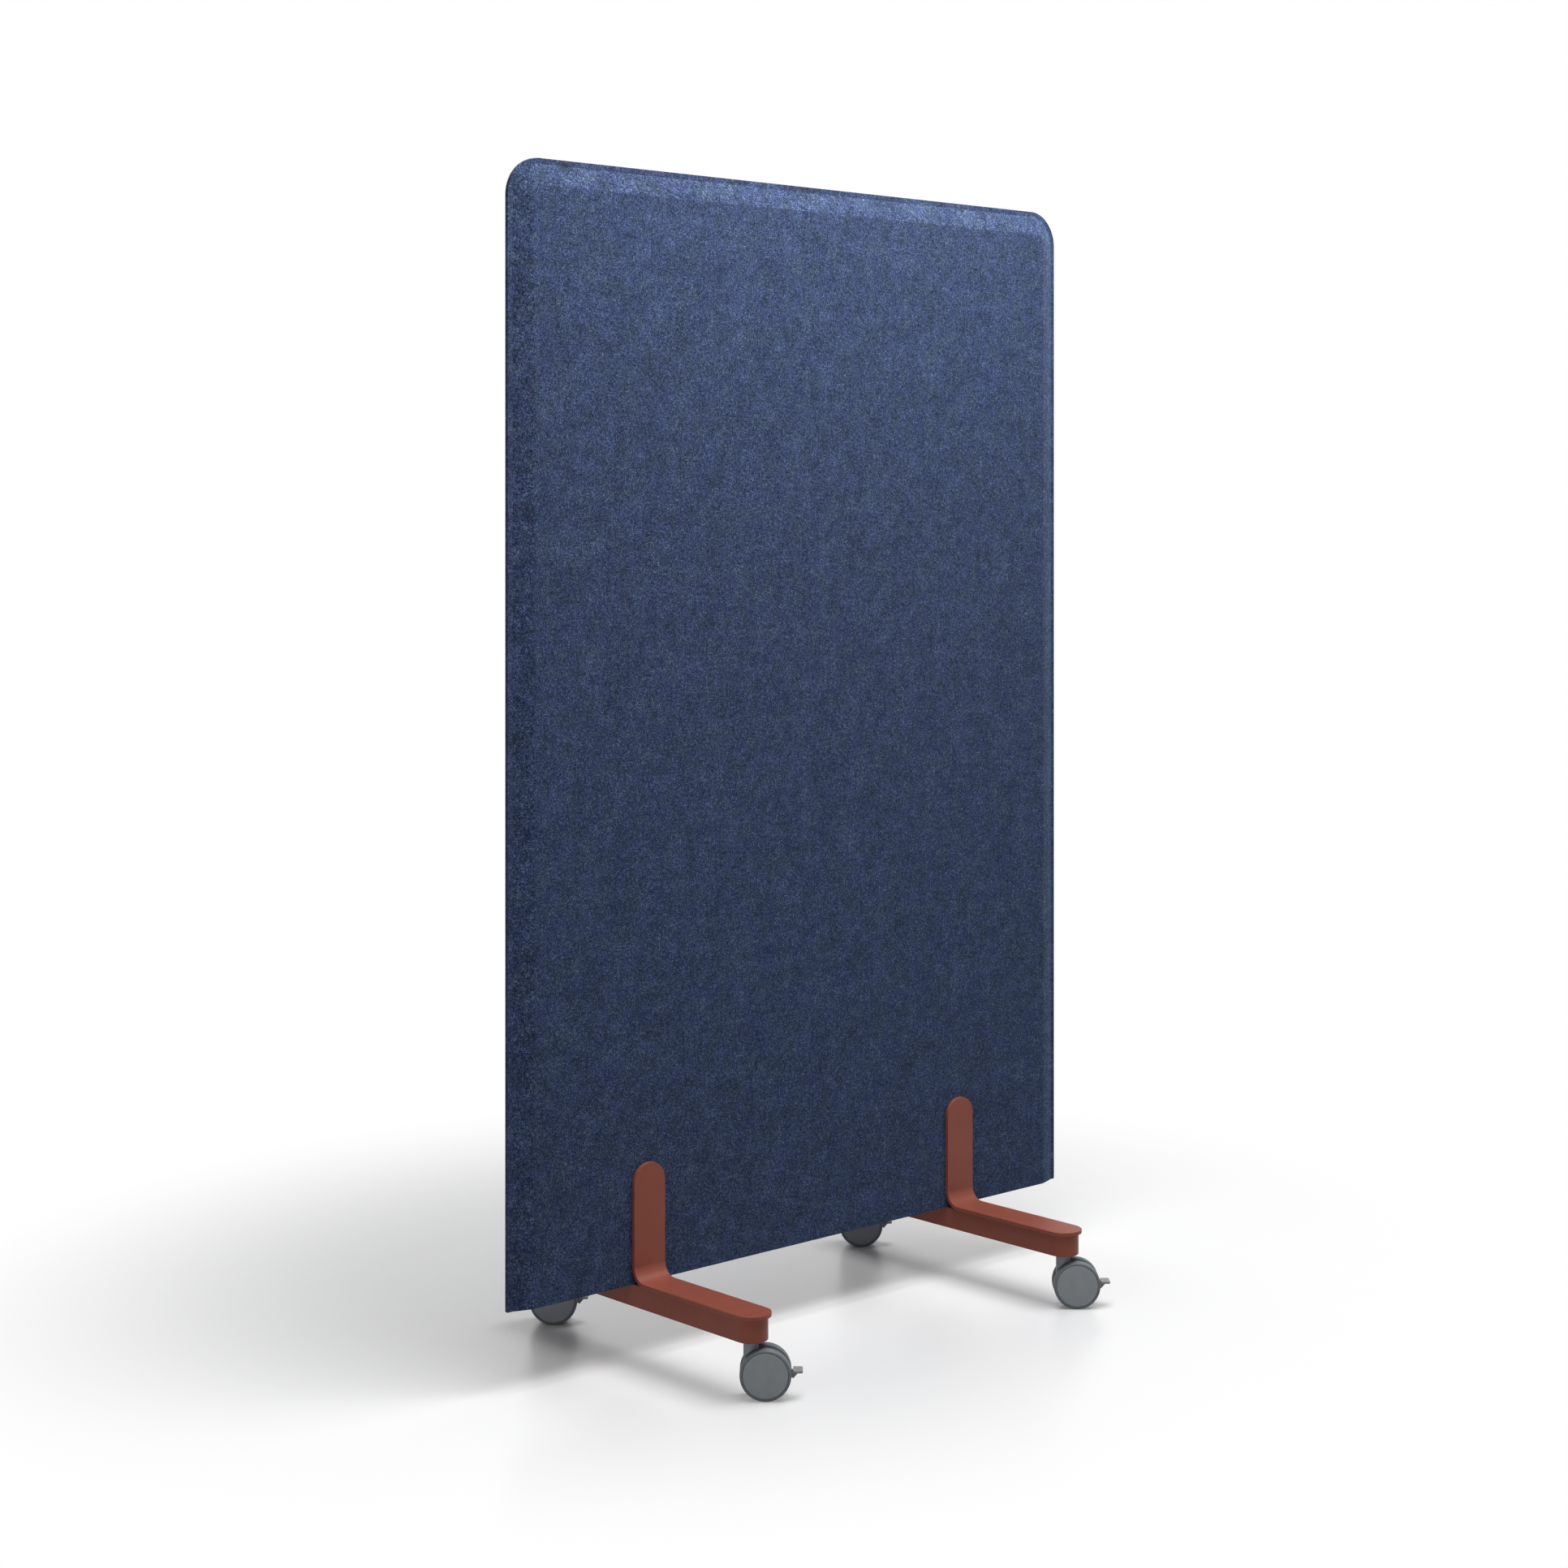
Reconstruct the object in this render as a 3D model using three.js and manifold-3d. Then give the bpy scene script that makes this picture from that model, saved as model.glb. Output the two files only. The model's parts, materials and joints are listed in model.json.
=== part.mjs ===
// A rolling partition: a felt panel on two feet, with two bent plates and two braked castors each.
// Millimetres, +Z up, front of the panel towards -Y, the floor at Z = 0.
import * as THREE from "three";
import { mergeVertices } from "three/addons/utils/BufferGeometryUtils.js";
import Module from "manifold-3d";

const wasm = await Module();
wasm.setup();

// ---------------------------------------------------------------- driving dimensions

// Panel: two moulded felt trays, back to back, round a frame and a core.
const PANEL_WIDTH = 1180;
const PANEL_TOP = 1800;
const PANEL_THICKNESS = 28.6;
const CORNER_RADIUS = 58;
const FLANGE_WIDTH = 8;
const FLANGE_THICKNESS = 3.2;
const FLANGE_EASE = 1;
const MARGIN_WIDTH = 40;
const FELT_WALL = 3;
const STILE_WIDTH = 36;
const TOP_RAIL_HEIGHT = 36;
const BOTTOM_RAIL_HEIGHT = 168;
const TENON_LENGTH = 18;
const TENON_THICKNESS = 8;
const TENON_SHOULDER = 8;

// Feet: hollow bars, open underneath, that carry the brackets and the castors.
const FOOT_INSET = 253;
const BAR_BOTTOM = 85;
const BAR_HEIGHT = 34;
const BAR_WIDTH = 50;
const BAR_WALL = 4;
const BAR_ROOF = 5;
const BAR_RIB = 3;
const BAR_RIB_PITCH = 130;
const BAR_RIB_DEPTH = 16;
const STEM_BOSS_DIAMETER = 26;

// Brackets: one plate, bent once, with welded pins for the panel and studs for the bar.
const PLATE_WIDTH = 60;
const PLATE_THICKNESS = 6;
const BRACKET_TOP = 300;
const BEND_RADIUS = 22;
const PIN_DIAMETER = 8;
const PIN_DEPTH = 7;
const PIN_LOWER_HEIGHT = 190;
const PIN_UPPER_HEIGHT = 260;
const STUD_DIAMETER = 6;
const STUD_END = 2;
const STUD_NEAR = 80;
const STUD_INSET = 50;
const NUT_ACROSS_FLATS = 10;
const NUT_HEIGHT = 5;

// Castors: a neck and a web between two wheels, and a brake pedal behind them.
const CASTOR_SPACING = 500;
const CASTOR_TURN_DEGREES = -42.36;
const WHEEL_DIAMETER = 75;
const WHEEL_WIDTH = 16;
const WHEEL_GAP = 13;
const TRAIL = 21;
const RIM_DIAMETER = 66;
const RIM_WALL = 2.6;
const DISC_WALL = 2.6;
const DISC_DISH = 0.8;
const HUB_DIAMETER = 15;
const TYRE_SHOULDER = 2.4;
const AXLE_DIAMETER = 8;
const AXLE_CHAMFER = 0.8;
const NECK_DIAMETER = 22;
const WEB_SETBACK = 4.5;
const WEB_BOSS_DIAMETER = 26;
const WEB_FRONT_END_DEGREES = 198;
const WEB_BACK_START_DEGREES = 36;
const WEB_BOSS_START_DEGREES = 234;
const WEB_BOSS_END_DEGREES = 315;
const COLLAR_DIAMETER = 18;
const COLLAR_HEIGHT = 1.8;
const STEM_DIAMETER = 10;
const STEM_HEIGHT = 26;
const KING_PIN_DIAMETER = 8;
const KING_PIN_LENGTH = 25;

// Brake pedal, measured along the trail from the axle.
const PIVOT_REACH = 23;
const PIVOT_RISE = 7;
const PIVOT_DIAMETER = 4;
const LUG_DIAMETER = 12;
const LUG_START_DEGREES = 306;
const LUG_END_DEGREES = 378;
const TONGUE_THICKNESS = 5.4;
const TONGUE_DIAMETER = 9;
const TONGUE_START_DEGREES = 72;
const TONGUE_END_DEGREES = 288;
const PEDAL_REACH = 54;
const PEDAL_LENGTH = 14;
const PEDAL_WIDTH = 24;
const PEDAL_THICKNESS = 3.4;
const PEDAL_CORNER = 3;
const PEDAL_TOP_HEIGHT = 42;
const GUSSET_DEPTH = 10;
const GUSSET_REACH = 9;

// Clearances, and how far a cut runs past what it cuts.
const SEAT_GAP = 0.3;
const HOLE_GAP = 0.3;
const TURNING_GAP = 0.6;
const WHEEL_ARCH_GAP = 1.5;
const CUT_OVERRUN = 1;

// Steps of a full circle, and of the panel's margin.
const CORNER_STEPS = 32;
const END_STEPS = 32;
const BEND_STEPS = 24;
const WEB_STEPS = 16;
const WHEEL_STEPS = 24;
const ARCH_STEPS = 32;
const NECK_STEPS = 20;
const HOLE_STEPS = 10;
const MARGIN_STEPS = 4;

// ---------------------------------------------------------------- worked-out sizes

const HALF_THICKNESS = PANEL_THICKNESS / 2;
const BAR_TOP = BAR_BOTTOM + BAR_HEIGHT;
const PANEL_BOTTOM = BAR_TOP;
const CAVITY_INSET = FLANGE_WIDTH + FELT_WALL + MARGIN_WIDTH;
const FRAME_THICKNESS = PANEL_THICKNESS - 2 * (FELT_WALL + SEAT_GAP);
const FRAME_HALF_WIDTH = PANEL_WIDTH / 2 - CAVITY_INSET - SEAT_GAP;
const FRAME_TOP = PANEL_TOP - CAVITY_INSET - SEAT_GAP;
const STILE_INNER = FRAME_HALF_WIDTH - STILE_WIDTH;
const BOTTOM_RAIL_TOP = PANEL_BOTTOM + BOTTOM_RAIL_HEIGHT;
const TOP_RAIL_BOTTOM = FRAME_TOP - TOP_RAIL_HEIGHT;
const FOOT_X = PANEL_WIDTH / 2 - FOOT_INSET;
const SWIVEL_Y = CASTOR_SPACING / 2;
const STUD_FAR = SWIVEL_Y - STUD_INSET;
const CASTOR_TURN = radians(CASTOR_TURN_DEGREES);
const WHEEL_RADIUS = WHEEL_DIAMETER / 2;
const WEB_THICKNESS = WHEEL_GAP - 2 * TURNING_GAP;
const NECK_TOP = BAR_BOTTOM - COLLAR_HEIGHT - TURNING_GAP;
const PIN_HEIGHTS = [PIN_LOWER_HEIGHT, PIN_UPPER_HEIGHT];
const STUD_PLACES = [STUD_NEAR, STUD_FAR];

// The frame's origin is midway between the front and the rear tyres on the floor, so the panel
// stands a little behind it, by as much as the castors trail forwards.
const PANEL_SETBACK = -TRAIL * Math.sin(CASTOR_TURN);

// ---------------------------------------------------------------- materials

const blueFelt = finish(0x40507a, 0.95, 0);
const spruce = finish(0xd9b98a, 0.75, 0);
const foam = finish(0x8d9096, 1, 0);
const rustPaint = finish(0x8c4c42, 0.6, 0);
const zinc = finish(0xb9bdc2, 0.35, 1);
const slatePlastic = finish(0x686f73, 0.5, 0);
const darkRubber = finish(0x3a4045, 0.8, 0);
const palePlastic = finish(0x969ea5, 0.55, 0);

function finish(color, roughness, metalness) {
  return new THREE.MeshStandardMaterial({ color, roughness, metalness });
}

function radians(degrees) {
  return THREE.MathUtils.degToRad(degrees);
}

// ---------------------------------------------------------------- solids from geometries

function solidOf(geometry) {
  const bare = geometry.index ? geometry.toNonIndexed() : geometry.clone();
  bare.deleteAttribute("normal");
  bare.deleteAttribute("uv");
  const merged = mergeVertices(bare, 1e-4);
  const mesh = new wasm.Mesh({
    numProp: 3,
    vertProperties: merged.attributes.position.array,
    triVerts: new Uint32Array(merged.index.array),
  });
  return new wasm.Manifold(mesh);
}

function geometryOf(solid) {
  const mesh = solid.getMesh();
  const geometry = new THREE.BufferGeometry();
  geometry.setAttribute("position", new THREE.BufferAttribute(mesh.vertProperties, 3));
  geometry.setIndex(new THREE.BufferAttribute(mesh.triVerts, 1));
  geometry.computeVertexNormals();
  return geometry;
}

function joined(...solids) {
  return solids.reduce((all, next) => all.add(next));
}

function cut(body, ...tools) {
  return tools.reduce((left, tool) => left.subtract(tool), body);
}

function mesh(name, solid, material) {
  const made = new THREE.Mesh(geometryOf(solid), material);
  made.name = name;
  return made;
}

// A drawn shape with a thickness, centred on a place along one axis. Across X it is drawn in
// (Y, Z), across Y in (X, Z) and across Z in (X, Y). Each of its arcs gets the same steps.
function slab(shape, axis, centre, thickness, arcSteps) {
  const options = { depth: thickness, bevelEnabled: false, curveSegments: arcSteps / 2 };
  const geometry = new THREE.ExtrudeGeometry(shape, options);
  geometry.translate(0, 0, -thickness / 2);
  if (axis === "x") geometry.rotateY(Math.PI / 2).rotateX(Math.PI / 2);
  if (axis === "y") geometry.rotateX(Math.PI / 2);
  const shift = { x: [centre, 0, 0], y: [0, centre, 0], z: [0, 0, centre] }[axis];
  return solidOf(geometry.translate(...shift));
}

function block(xs, ys, zs) {
  const geometry = new THREE.BoxGeometry(xs[1] - xs[0], ys[1] - ys[0], zs[1] - zs[0]);
  return solidOf(
    geometry.translate((xs[0] + xs[1]) / 2, (ys[0] + ys[1]) / 2, (zs[0] + zs[1]) / 2),
  );
}

function uprightRod(radius, x, y, zs, steps) {
  const geometry = new THREE.CylinderGeometry(radius, radius, zs[1] - zs[0], steps);
  return solidOf(geometry.rotateX(Math.PI / 2).translate(x, y, (zs[0] + zs[1]) / 2));
}

function crossRod(radius, x, z, ys, steps) {
  const geometry = new THREE.CylinderGeometry(radius, radius, ys[1] - ys[0], steps);
  return solidOf(geometry.translate(x, (ys[0] + ys[1]) / 2, z));
}

// A profile of (radius, place along the axis) pairs, turned about Y.
function turned(profile, steps) {
  const points = profile.map(([radius, place]) => new THREE.Vector2(radius, place));
  return solidOf(new THREE.LatheGeometry(points, steps, Math.PI / steps));
}

// Equally long outlines, one above the other, closed into one surface.
function loft(rings) {
  const count = rings[0].length;
  const last = (rings.length - 1) * count;
  const index = [];
  for (let ring = 0; ring < last; ring += count) {
    for (let i = 0; i < count; i += 1) {
      const next = (i + 1) % count;
      index.push(ring + i, ring + next, ring + count + next);
      index.push(ring + i, ring + count + next, ring + count + i);
    }
  }
  for (let i = 1; i + 1 < count; i += 1) {
    index.push(0, i + 1, i);
    index.push(last, last + i, last + i + 1);
  }
  const geometry = new THREE.BufferGeometry().setFromPoints(rings.flat());
  return solidOf(geometry.setIndex(index));
}

// ---------------------------------------------------------------- outlines

// Flat at one end and half round at the other, along the drawing's second direction.
function tongueOutline(width, from, to) {
  const radius = width / 2;
  const shape = new THREE.Shape();
  shape.moveTo(-radius, from);
  shape.lineTo(radius, from);
  shape.lineTo(radius, to - radius);
  shape.absarc(0, to - radius, radius, 0, Math.PI);
  return shape;
}

// Half round at both ends, with the round centres `spacing` apart.
function barOutline(width, spacing) {
  const radius = width / 2;
  const shape = new THREE.Shape();
  shape.moveTo(radius, -spacing / 2);
  shape.lineTo(radius, spacing / 2);
  shape.absarc(0, spacing / 2, radius, 0, Math.PI);
  shape.lineTo(-radius, -spacing / 2);
  shape.absarc(0, -spacing / 2, radius, Math.PI, 2 * Math.PI);
  return shape;
}

// The panel's outline, drawn in on the left, the top and the right but not at its foot.
function panelRing(inset, bottom, y) {
  const half = PANEL_WIDTH / 2 - inset;
  const top = PANEL_TOP - inset;
  const radius = Math.max(CORNER_RADIUS - inset, FLANGE_EASE);
  const shape = new THREE.Shape();
  shape.moveTo(-half, bottom);
  shape.lineTo(half, bottom);
  shape.lineTo(half, top - radius);
  shape.absarc(half - radius, top - radius, radius, 0, Math.PI / 2);
  shape.lineTo(radius - half, top);
  shape.absarc(radius - half, top - radius, radius, Math.PI / 2, Math.PI);
  const points = shape.getPoints(CORNER_STEPS / 8);
  return points.map((point) => new THREE.Vector3(point.x, y, point.y));
}

// ---------------------------------------------------------------- panel

// The margin swells from the flange to the flat face in a quarter of an ellipse.
function marginLevels(inset, from, to) {
  const levels = [];
  for (let step = 0; step <= MARGIN_STEPS; step += 1) {
    const angle = (step / MARGIN_STEPS) * (Math.PI / 2);
    levels.push({
      inset: inset + MARGIN_WIDTH * (1 - Math.cos(angle)),
      depth: from + (to - from) * Math.sin(angle),
    });
  }
  return levels;
}

// `side` is -1 for the front tray and 1 for the rear one.
function domed(levels, bottom, side) {
  const rings = levels.map(({ inset, depth }) => panelRing(inset, bottom, side * depth));
  return loft(side < 0 ? rings : rings.reverse());
}

function feltTray(side) {
  const outside = [
    { inset: 0, depth: 0 },
    { inset: 0, depth: FLANGE_THICKNESS - FLANGE_EASE },
    { inset: FLANGE_EASE, depth: FLANGE_THICKNESS },
    ...marginLevels(FLANGE_WIDTH, FLANGE_THICKNESS, HALF_THICKNESS),
  ];
  const innerInset = FLANGE_WIDTH + FELT_WALL;
  const inside = [
    { inset: innerInset, depth: -CUT_OVERRUN },
    ...marginLevels(innerInset, 0, HALF_THICKNESS - FELT_WALL),
  ];
  const tray = domed(outside, PANEL_BOTTOM, side);
  const hollow = domed(inside, PANEL_BOTTOM - CUT_OVERRUN, side);
  return cut(tray, hollow, ...pinHoles());
}

// The holes for every bracket's welded pins, right through the panel.
function pinHoles() {
  const ys = [-HALF_THICKNESS - CUT_OVERRUN, HALF_THICKNESS + CUT_OVERRUN];
  const radius = PIN_DIAMETER / 2 + HOLE_GAP;
  return footPlaces().flatMap(({ x }) =>
    PIN_HEIGHTS.map((height) => crossRod(radius, x, height, ys, HOLE_STEPS)),
  );
}

function frameBoard(xs, zs) {
  return block(xs, [-FRAME_THICKNESS / 2, FRAME_THICKNESS / 2], zs);
}

// The middle of a rail's end, `gap` larger all round for the mortise that takes it.
function tenon(side, zs, gap) {
  const inner = STILE_INNER - CUT_OVERRUN;
  const tip = STILE_INNER + TENON_LENGTH + gap;
  const half = TENON_THICKNESS / 2 + gap;
  return block(
    side < 0 ? [-tip, -inner] : [inner, tip],
    [-half, half],
    [zs[0] + TENON_SHOULDER - gap, zs[1] - TENON_SHOULDER + gap],
  );
}

const TOP_RAIL_SPAN = [TOP_RAIL_BOTTOM, FRAME_TOP];
const BOTTOM_RAIL_SPAN = [PANEL_BOTTOM, BOTTOM_RAIL_TOP];

function stile(side) {
  const xs = side < 0 ? [-FRAME_HALF_WIDTH, -STILE_INNER] : [STILE_INNER, FRAME_HALF_WIDTH];
  const post = frameBoard(xs, [PANEL_BOTTOM, FRAME_TOP]);
  return cut(post, tenon(side, TOP_RAIL_SPAN, SEAT_GAP), tenon(side, BOTTOM_RAIL_SPAN, SEAT_GAP));
}

function rail(zs) {
  const end = STILE_INNER - SEAT_GAP;
  return joined(frameBoard([-end, end], zs), tenon(-1, zs, 0), tenon(1, zs, 0));
}

function core() {
  const end = STILE_INNER - SEAT_GAP;
  return frameBoard([-end, end], [BOTTOM_RAIL_TOP + SEAT_GAP, TOP_RAIL_BOTTOM - SEAT_GAP]);
}

function panel() {
  const group = new THREE.Group();
  const bottomRail = cut(rail(BOTTOM_RAIL_SPAN), ...pinHoles());
  group.add(mesh("front_felt_shell", feltTray(-1), blueFelt));
  group.add(mesh("rear_felt_shell", feltTray(1), blueFelt));
  group.add(mesh("left_stile", stile(-1), spruce));
  group.add(mesh("right_stile", stile(1), spruce));
  group.add(mesh("top_rail", rail(TOP_RAIL_SPAN), spruce));
  group.add(mesh("bottom_rail", bottomRail, spruce));
  group.add(mesh("acoustic_core", core(), foam));
  return group;
}

// ---------------------------------------------------------------- feet

function footPlaces() {
  return [
    { name: "left", x: -FOOT_X },
    { name: "right", x: FOOT_X },
  ];
}

// Down the inside face of the upright leg, round the bend and out along the lower leg.
function bracketProfile() {
  const inner = HALF_THICKNESS + SEAT_GAP;
  const outer = inner + PLATE_THICKNESS;
  const tip = SWIVEL_Y + PLATE_WIDTH / 2;
  const centreY = outer + BEND_RADIUS;
  const centreZ = BAR_TOP + PLATE_THICKNESS + BEND_RADIUS;
  const backRadius = BEND_RADIUS + PLATE_THICKNESS;
  const shape = new THREE.Shape();
  shape.moveTo(inner, BRACKET_TOP);
  shape.lineTo(inner, centreZ);
  shape.absarc(centreY, centreZ, backRadius, Math.PI, 1.5 * Math.PI);
  shape.lineTo(tip, BAR_TOP);
  shape.lineTo(tip, BAR_TOP + PLATE_THICKNESS);
  shape.lineTo(centreY, BAR_TOP + PLATE_THICKNESS);
  shape.absarc(centreY, centreZ, BEND_RADIUS, 1.5 * Math.PI, Math.PI, true);
  shape.lineTo(outer, BRACKET_TOP);
  return shape;
}

// The plate, bent once and half round at both of its ends.
function bentPlate() {
  const tip = SWIVEL_Y + PLATE_WIDTH / 2;
  const depth = 2 * (tip + CUT_OVERRUN);
  const upright = tongueOutline(PLATE_WIDTH, BAR_TOP - CUT_OVERRUN, BRACKET_TOP);
  const lower = tongueOutline(PLATE_WIDTH, 0, tip);
  return slab(bracketProfile(), "x", 0, PLATE_WIDTH, BEND_STEPS / 4)
    .intersect(slab(upright, "y", 0, depth, END_STEPS / 2))
    .intersect(slab(lower, "z", BRACKET_TOP / 2, BRACKET_TOP + CUT_OVERRUN, END_STEPS / 2));
}

// One bracket, with the panel at Y = 0 and its lower leg pointing to +Y. Its pins and studs are
// welded in to half the plate's depth.
function bracket() {
  const weld = PLATE_THICKNESS / 2;
  const pinEnd = FRAME_THICKNESS / 2 - PIN_DEPTH;
  const pinYs = [pinEnd, HALF_THICKNESS + SEAT_GAP + weld];
  const pins = PIN_HEIGHTS.map((z) => crossRod(PIN_DIAMETER / 2, 0, z, pinYs, HOLE_STEPS));
  const studZs = [BAR_TOP - BAR_ROOF - NUT_HEIGHT - STUD_END, BAR_TOP + weld];
  const studs = STUD_PLACES.map((y) => uprightRod(STUD_DIAMETER / 2, 0, y, studZs, HOLE_STEPS));
  return joined(bentPlate(), ...pins, ...studs);
}

// A hexagonal nut on a stud, up against the inside of the bar's roof.
function studNut(y) {
  const seat = BAR_TOP - BAR_ROOF;
  const zs = [seat - NUT_HEIGHT, seat];
  const corner = NUT_ACROSS_FLATS / 2 / Math.cos(Math.PI / 6);
  const hole = [zs[0] - CUT_OVERRUN, zs[1] + CUT_OVERRUN];
  return cut(
    uprightRod(corner, 0, y, zs, 6),
    uprightRod(STUD_DIAMETER / 2 + HOLE_GAP, 0, y, hole, HOLE_STEPS),
  );
}

// The bar's outside less its hollow, which leaves a roof and a skirt.
function barShell() {
  const middle = (BAR_BOTTOM + BAR_TOP) / 2;
  const outside = barOutline(BAR_WIDTH, CASTOR_SPACING);
  const inside = barOutline(BAR_WIDTH - 2 * BAR_WALL, CASTOR_SPACING);
  const depth = BAR_HEIGHT - BAR_ROOF + CUT_OVERRUN;
  const hollow = slab(inside, "z", BAR_TOP - BAR_ROOF - depth / 2, depth, END_STEPS / 2);
  return cut(slab(outside, "z", middle, BAR_HEIGHT, END_STEPS / 2), hollow);
}

// Three ribs along the bar's middle and one through each boss.
function barRibs() {
  const under = BAR_TOP - BAR_ROOF;
  const half = BAR_WIDTH / 2 - BAR_WALL / 2;
  return [-SWIVEL_Y, -BAR_RIB_PITCH, 0, BAR_RIB_PITCH, SWIVEL_Y].map((y) => {
    const ys = [y - BAR_RIB / 2, y + BAR_RIB / 2];
    return block([-half, half], ys, [under - BAR_RIB_DEPTH, under + CUT_OVERRUN]);
  });
}

// Sockets for the castors' stems from below, and holes for the brackets' studs in the roof.
function barHoles() {
  const socketZs = [BAR_BOTTOM - CUT_OVERRUN, BAR_BOTTOM + STEM_HEIGHT + SEAT_GAP];
  const sockets = [-SWIVEL_Y, SWIVEL_Y].map((y) =>
    uprightRod(STEM_DIAMETER / 2 + HOLE_GAP, 0, y, socketZs, HOLE_STEPS),
  );
  const holeZs = [BAR_TOP - BAR_ROOF - CUT_OVERRUN, BAR_TOP + CUT_OVERRUN];
  const holes = STUD_PLACES.flatMap((place) =>
    [-place, place].map((y) => uprightRod(STUD_DIAMETER / 2 + HOLE_GAP, 0, y, holeZs, HOLE_STEPS)),
  );
  return [...sockets, ...holes];
}

// A cast bar, hollow from below, with a boss at each end for a castor's stem.
function footBar() {
  const bossZs = [BAR_BOTTOM, BAR_TOP - BAR_ROOF + CUT_OVERRUN];
  const bosses = [-SWIVEL_Y, SWIVEL_Y].map((y) =>
    uprightRod(STEM_BOSS_DIAMETER / 2, 0, y, bossZs, NECK_STEPS),
  );
  return cut(joined(barShell(), ...bosses, ...barRibs()), ...barHoles());
}

function foot(place) {
  const group = new THREE.Group();
  group.position.x = place.x;
  group.add(mesh(place.name + "_foot_bar", footBar(), rustPaint));
  for (const side of ["front", "rear"]) {
    const name = place.name + "_" + side;
    const half = new THREE.Group();
    half.rotation.z = side === "front" ? Math.PI : 0;
    half.add(mesh(name + "_bracket", bracket(), rustPaint));
    half.add(mesh(name + "_inner_nut", studNut(STUD_NEAR), zinc));
    half.add(mesh(name + "_outer_nut", studNut(STUD_FAR), zinc));
    group.add(half);
  }
  return group;
}

// ---------------------------------------------------------------- castors

// Everything below is drawn with the swivel axis on Z, the axle along Y and the trail along X.

// The stem screws into the foot, and the king pin below its collar carries the castor.
function stem() {
  const seat = BAR_BOTTOM;
  const collar = seat - COLLAR_HEIGHT;
  const profile = [
    [0, collar - KING_PIN_LENGTH],
    [KING_PIN_DIAMETER / 2, collar - KING_PIN_LENGTH],
    [KING_PIN_DIAMETER / 2, collar],
    [COLLAR_DIAMETER / 2, collar],
    [COLLAR_DIAMETER / 2, seat],
    [STEM_DIAMETER / 2, seat],
    [STEM_DIAMETER / 2, seat + STEM_HEIGHT],
    [0, seat + STEM_HEIGHT],
  ];
  return turned(profile, HOLE_STEPS).rotate([90, 0, 0]);
}

// The web's side view: from the neck over the wheels' middle, down to the pedal's lug, round
// under the axle's boss and back up in front.
function webOutline() {
  const neck = NECK_DIAMETER / 2;
  const radius = WHEEL_RADIUS - WEB_SETBACK;
  const boss = WEB_BOSS_DIAMETER / 2;
  const lug = LUG_DIAMETER / 2;
  const lugX = TRAIL + PIVOT_REACH;
  const lugZ = WHEEL_RADIUS + PIVOT_RISE;
  const behindNeck = Math.acos((neck - TRAIL) / radius);
  const frontOfNeck = Math.acos(Math.max((-neck - TRAIL) / radius, -1));
  const shape = new THREE.Shape();
  shape.moveTo(-neck, NECK_TOP);
  shape.absarc(TRAIL, WHEEL_RADIUS, radius, frontOfNeck, radians(WEB_FRONT_END_DEGREES));
  shape.absarc(
    TRAIL, WHEEL_RADIUS, boss, radians(WEB_BOSS_START_DEGREES), radians(WEB_BOSS_END_DEGREES),
  );
  shape.absarc(lugX, lugZ, lug, radians(LUG_START_DEGREES), radians(LUG_END_DEGREES));
  shape.absarc(TRAIL, WHEEL_RADIUS, radius, radians(WEB_BACK_START_DEGREES), behindNeck);
  shape.lineTo(neck, NECK_TOP);
  return shape;
}

// The round neck, cut away over both wheels so that they turn freely below it.
function archedNeck() {
  const halfWeb = WEB_THICKNESS / 2;
  const beyond = WEB_THICKNESS + WHEEL_WIDTH;
  const radius = WHEEL_RADIUS + WHEEL_ARCH_GAP;
  const arches = [[-beyond, -halfWeb], [halfWeb, beyond]].map((ys) =>
    crossRod(radius, TRAIL, WHEEL_RADIUS, ys, ARCH_STEPS),
  );
  return cut(uprightRod(NECK_DIAMETER / 2, 0, 0, [WHEEL_RADIUS, NECK_TOP], NECK_STEPS), ...arches);
}

// The slot between the web's cheeks, where the pedal's tongue turns.
function tongueSlot() {
  const pivotX = TRAIL + PIVOT_REACH;
  const pivotZ = WHEEL_RADIUS + PIVOT_RISE;
  const half = TONGUE_THICKNESS / 2 + SEAT_GAP;
  const reach = TONGUE_DIAMETER / 2 + TURNING_GAP;
  return block(
    [pivotX - reach, pivotX + WHEEL_RADIUS],
    [-half, half],
    [pivotZ - WHEEL_RADIUS, pivotZ + reach],
  );
}

function castorBody() {
  const web = slab(webOutline(), "y", 0, WEB_THICKNESS, WEB_STEPS / 2);
  const across = [-WEB_THICKNESS, WEB_THICKNESS];
  const kingPinEnd = BAR_BOTTOM - COLLAR_HEIGHT - KING_PIN_LENGTH;
  const boreZs = [kingPinEnd - SEAT_GAP, NECK_TOP + CUT_OVERRUN];
  const bore = uprightRod(KING_PIN_DIAMETER / 2 + HOLE_GAP, 0, 0, boreZs, HOLE_STEPS);
  const axleHole = crossRod(AXLE_DIAMETER / 2 + HOLE_GAP, TRAIL, WHEEL_RADIUS, across, HOLE_STEPS);
  const pivotX = TRAIL + PIVOT_REACH;
  const pivotZ = WHEEL_RADIUS + PIVOT_RISE;
  const pivotHole = crossRod(PIVOT_DIAMETER / 2 + HOLE_GAP, pivotX, pivotZ, across, HOLE_STEPS);
  return cut(joined(archedNeck(), web), bore, axleHole, pivotHole, tongueSlot());
}

function axle() {
  const radius = AXLE_DIAMETER / 2;
  const end = WHEEL_GAP / 2 + WHEEL_WIDTH - DISC_WALL - DISC_DISH - SEAT_GAP;
  const profile = [
    [0, -end],
    [radius - AXLE_CHAMFER, -end],
    [radius, AXLE_CHAMFER - end],
    [radius, end - AXLE_CHAMFER],
    [radius - AXLE_CHAMFER, end],
    [0, end],
  ];
  return turned(profile, HOLE_STEPS);
}

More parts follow.
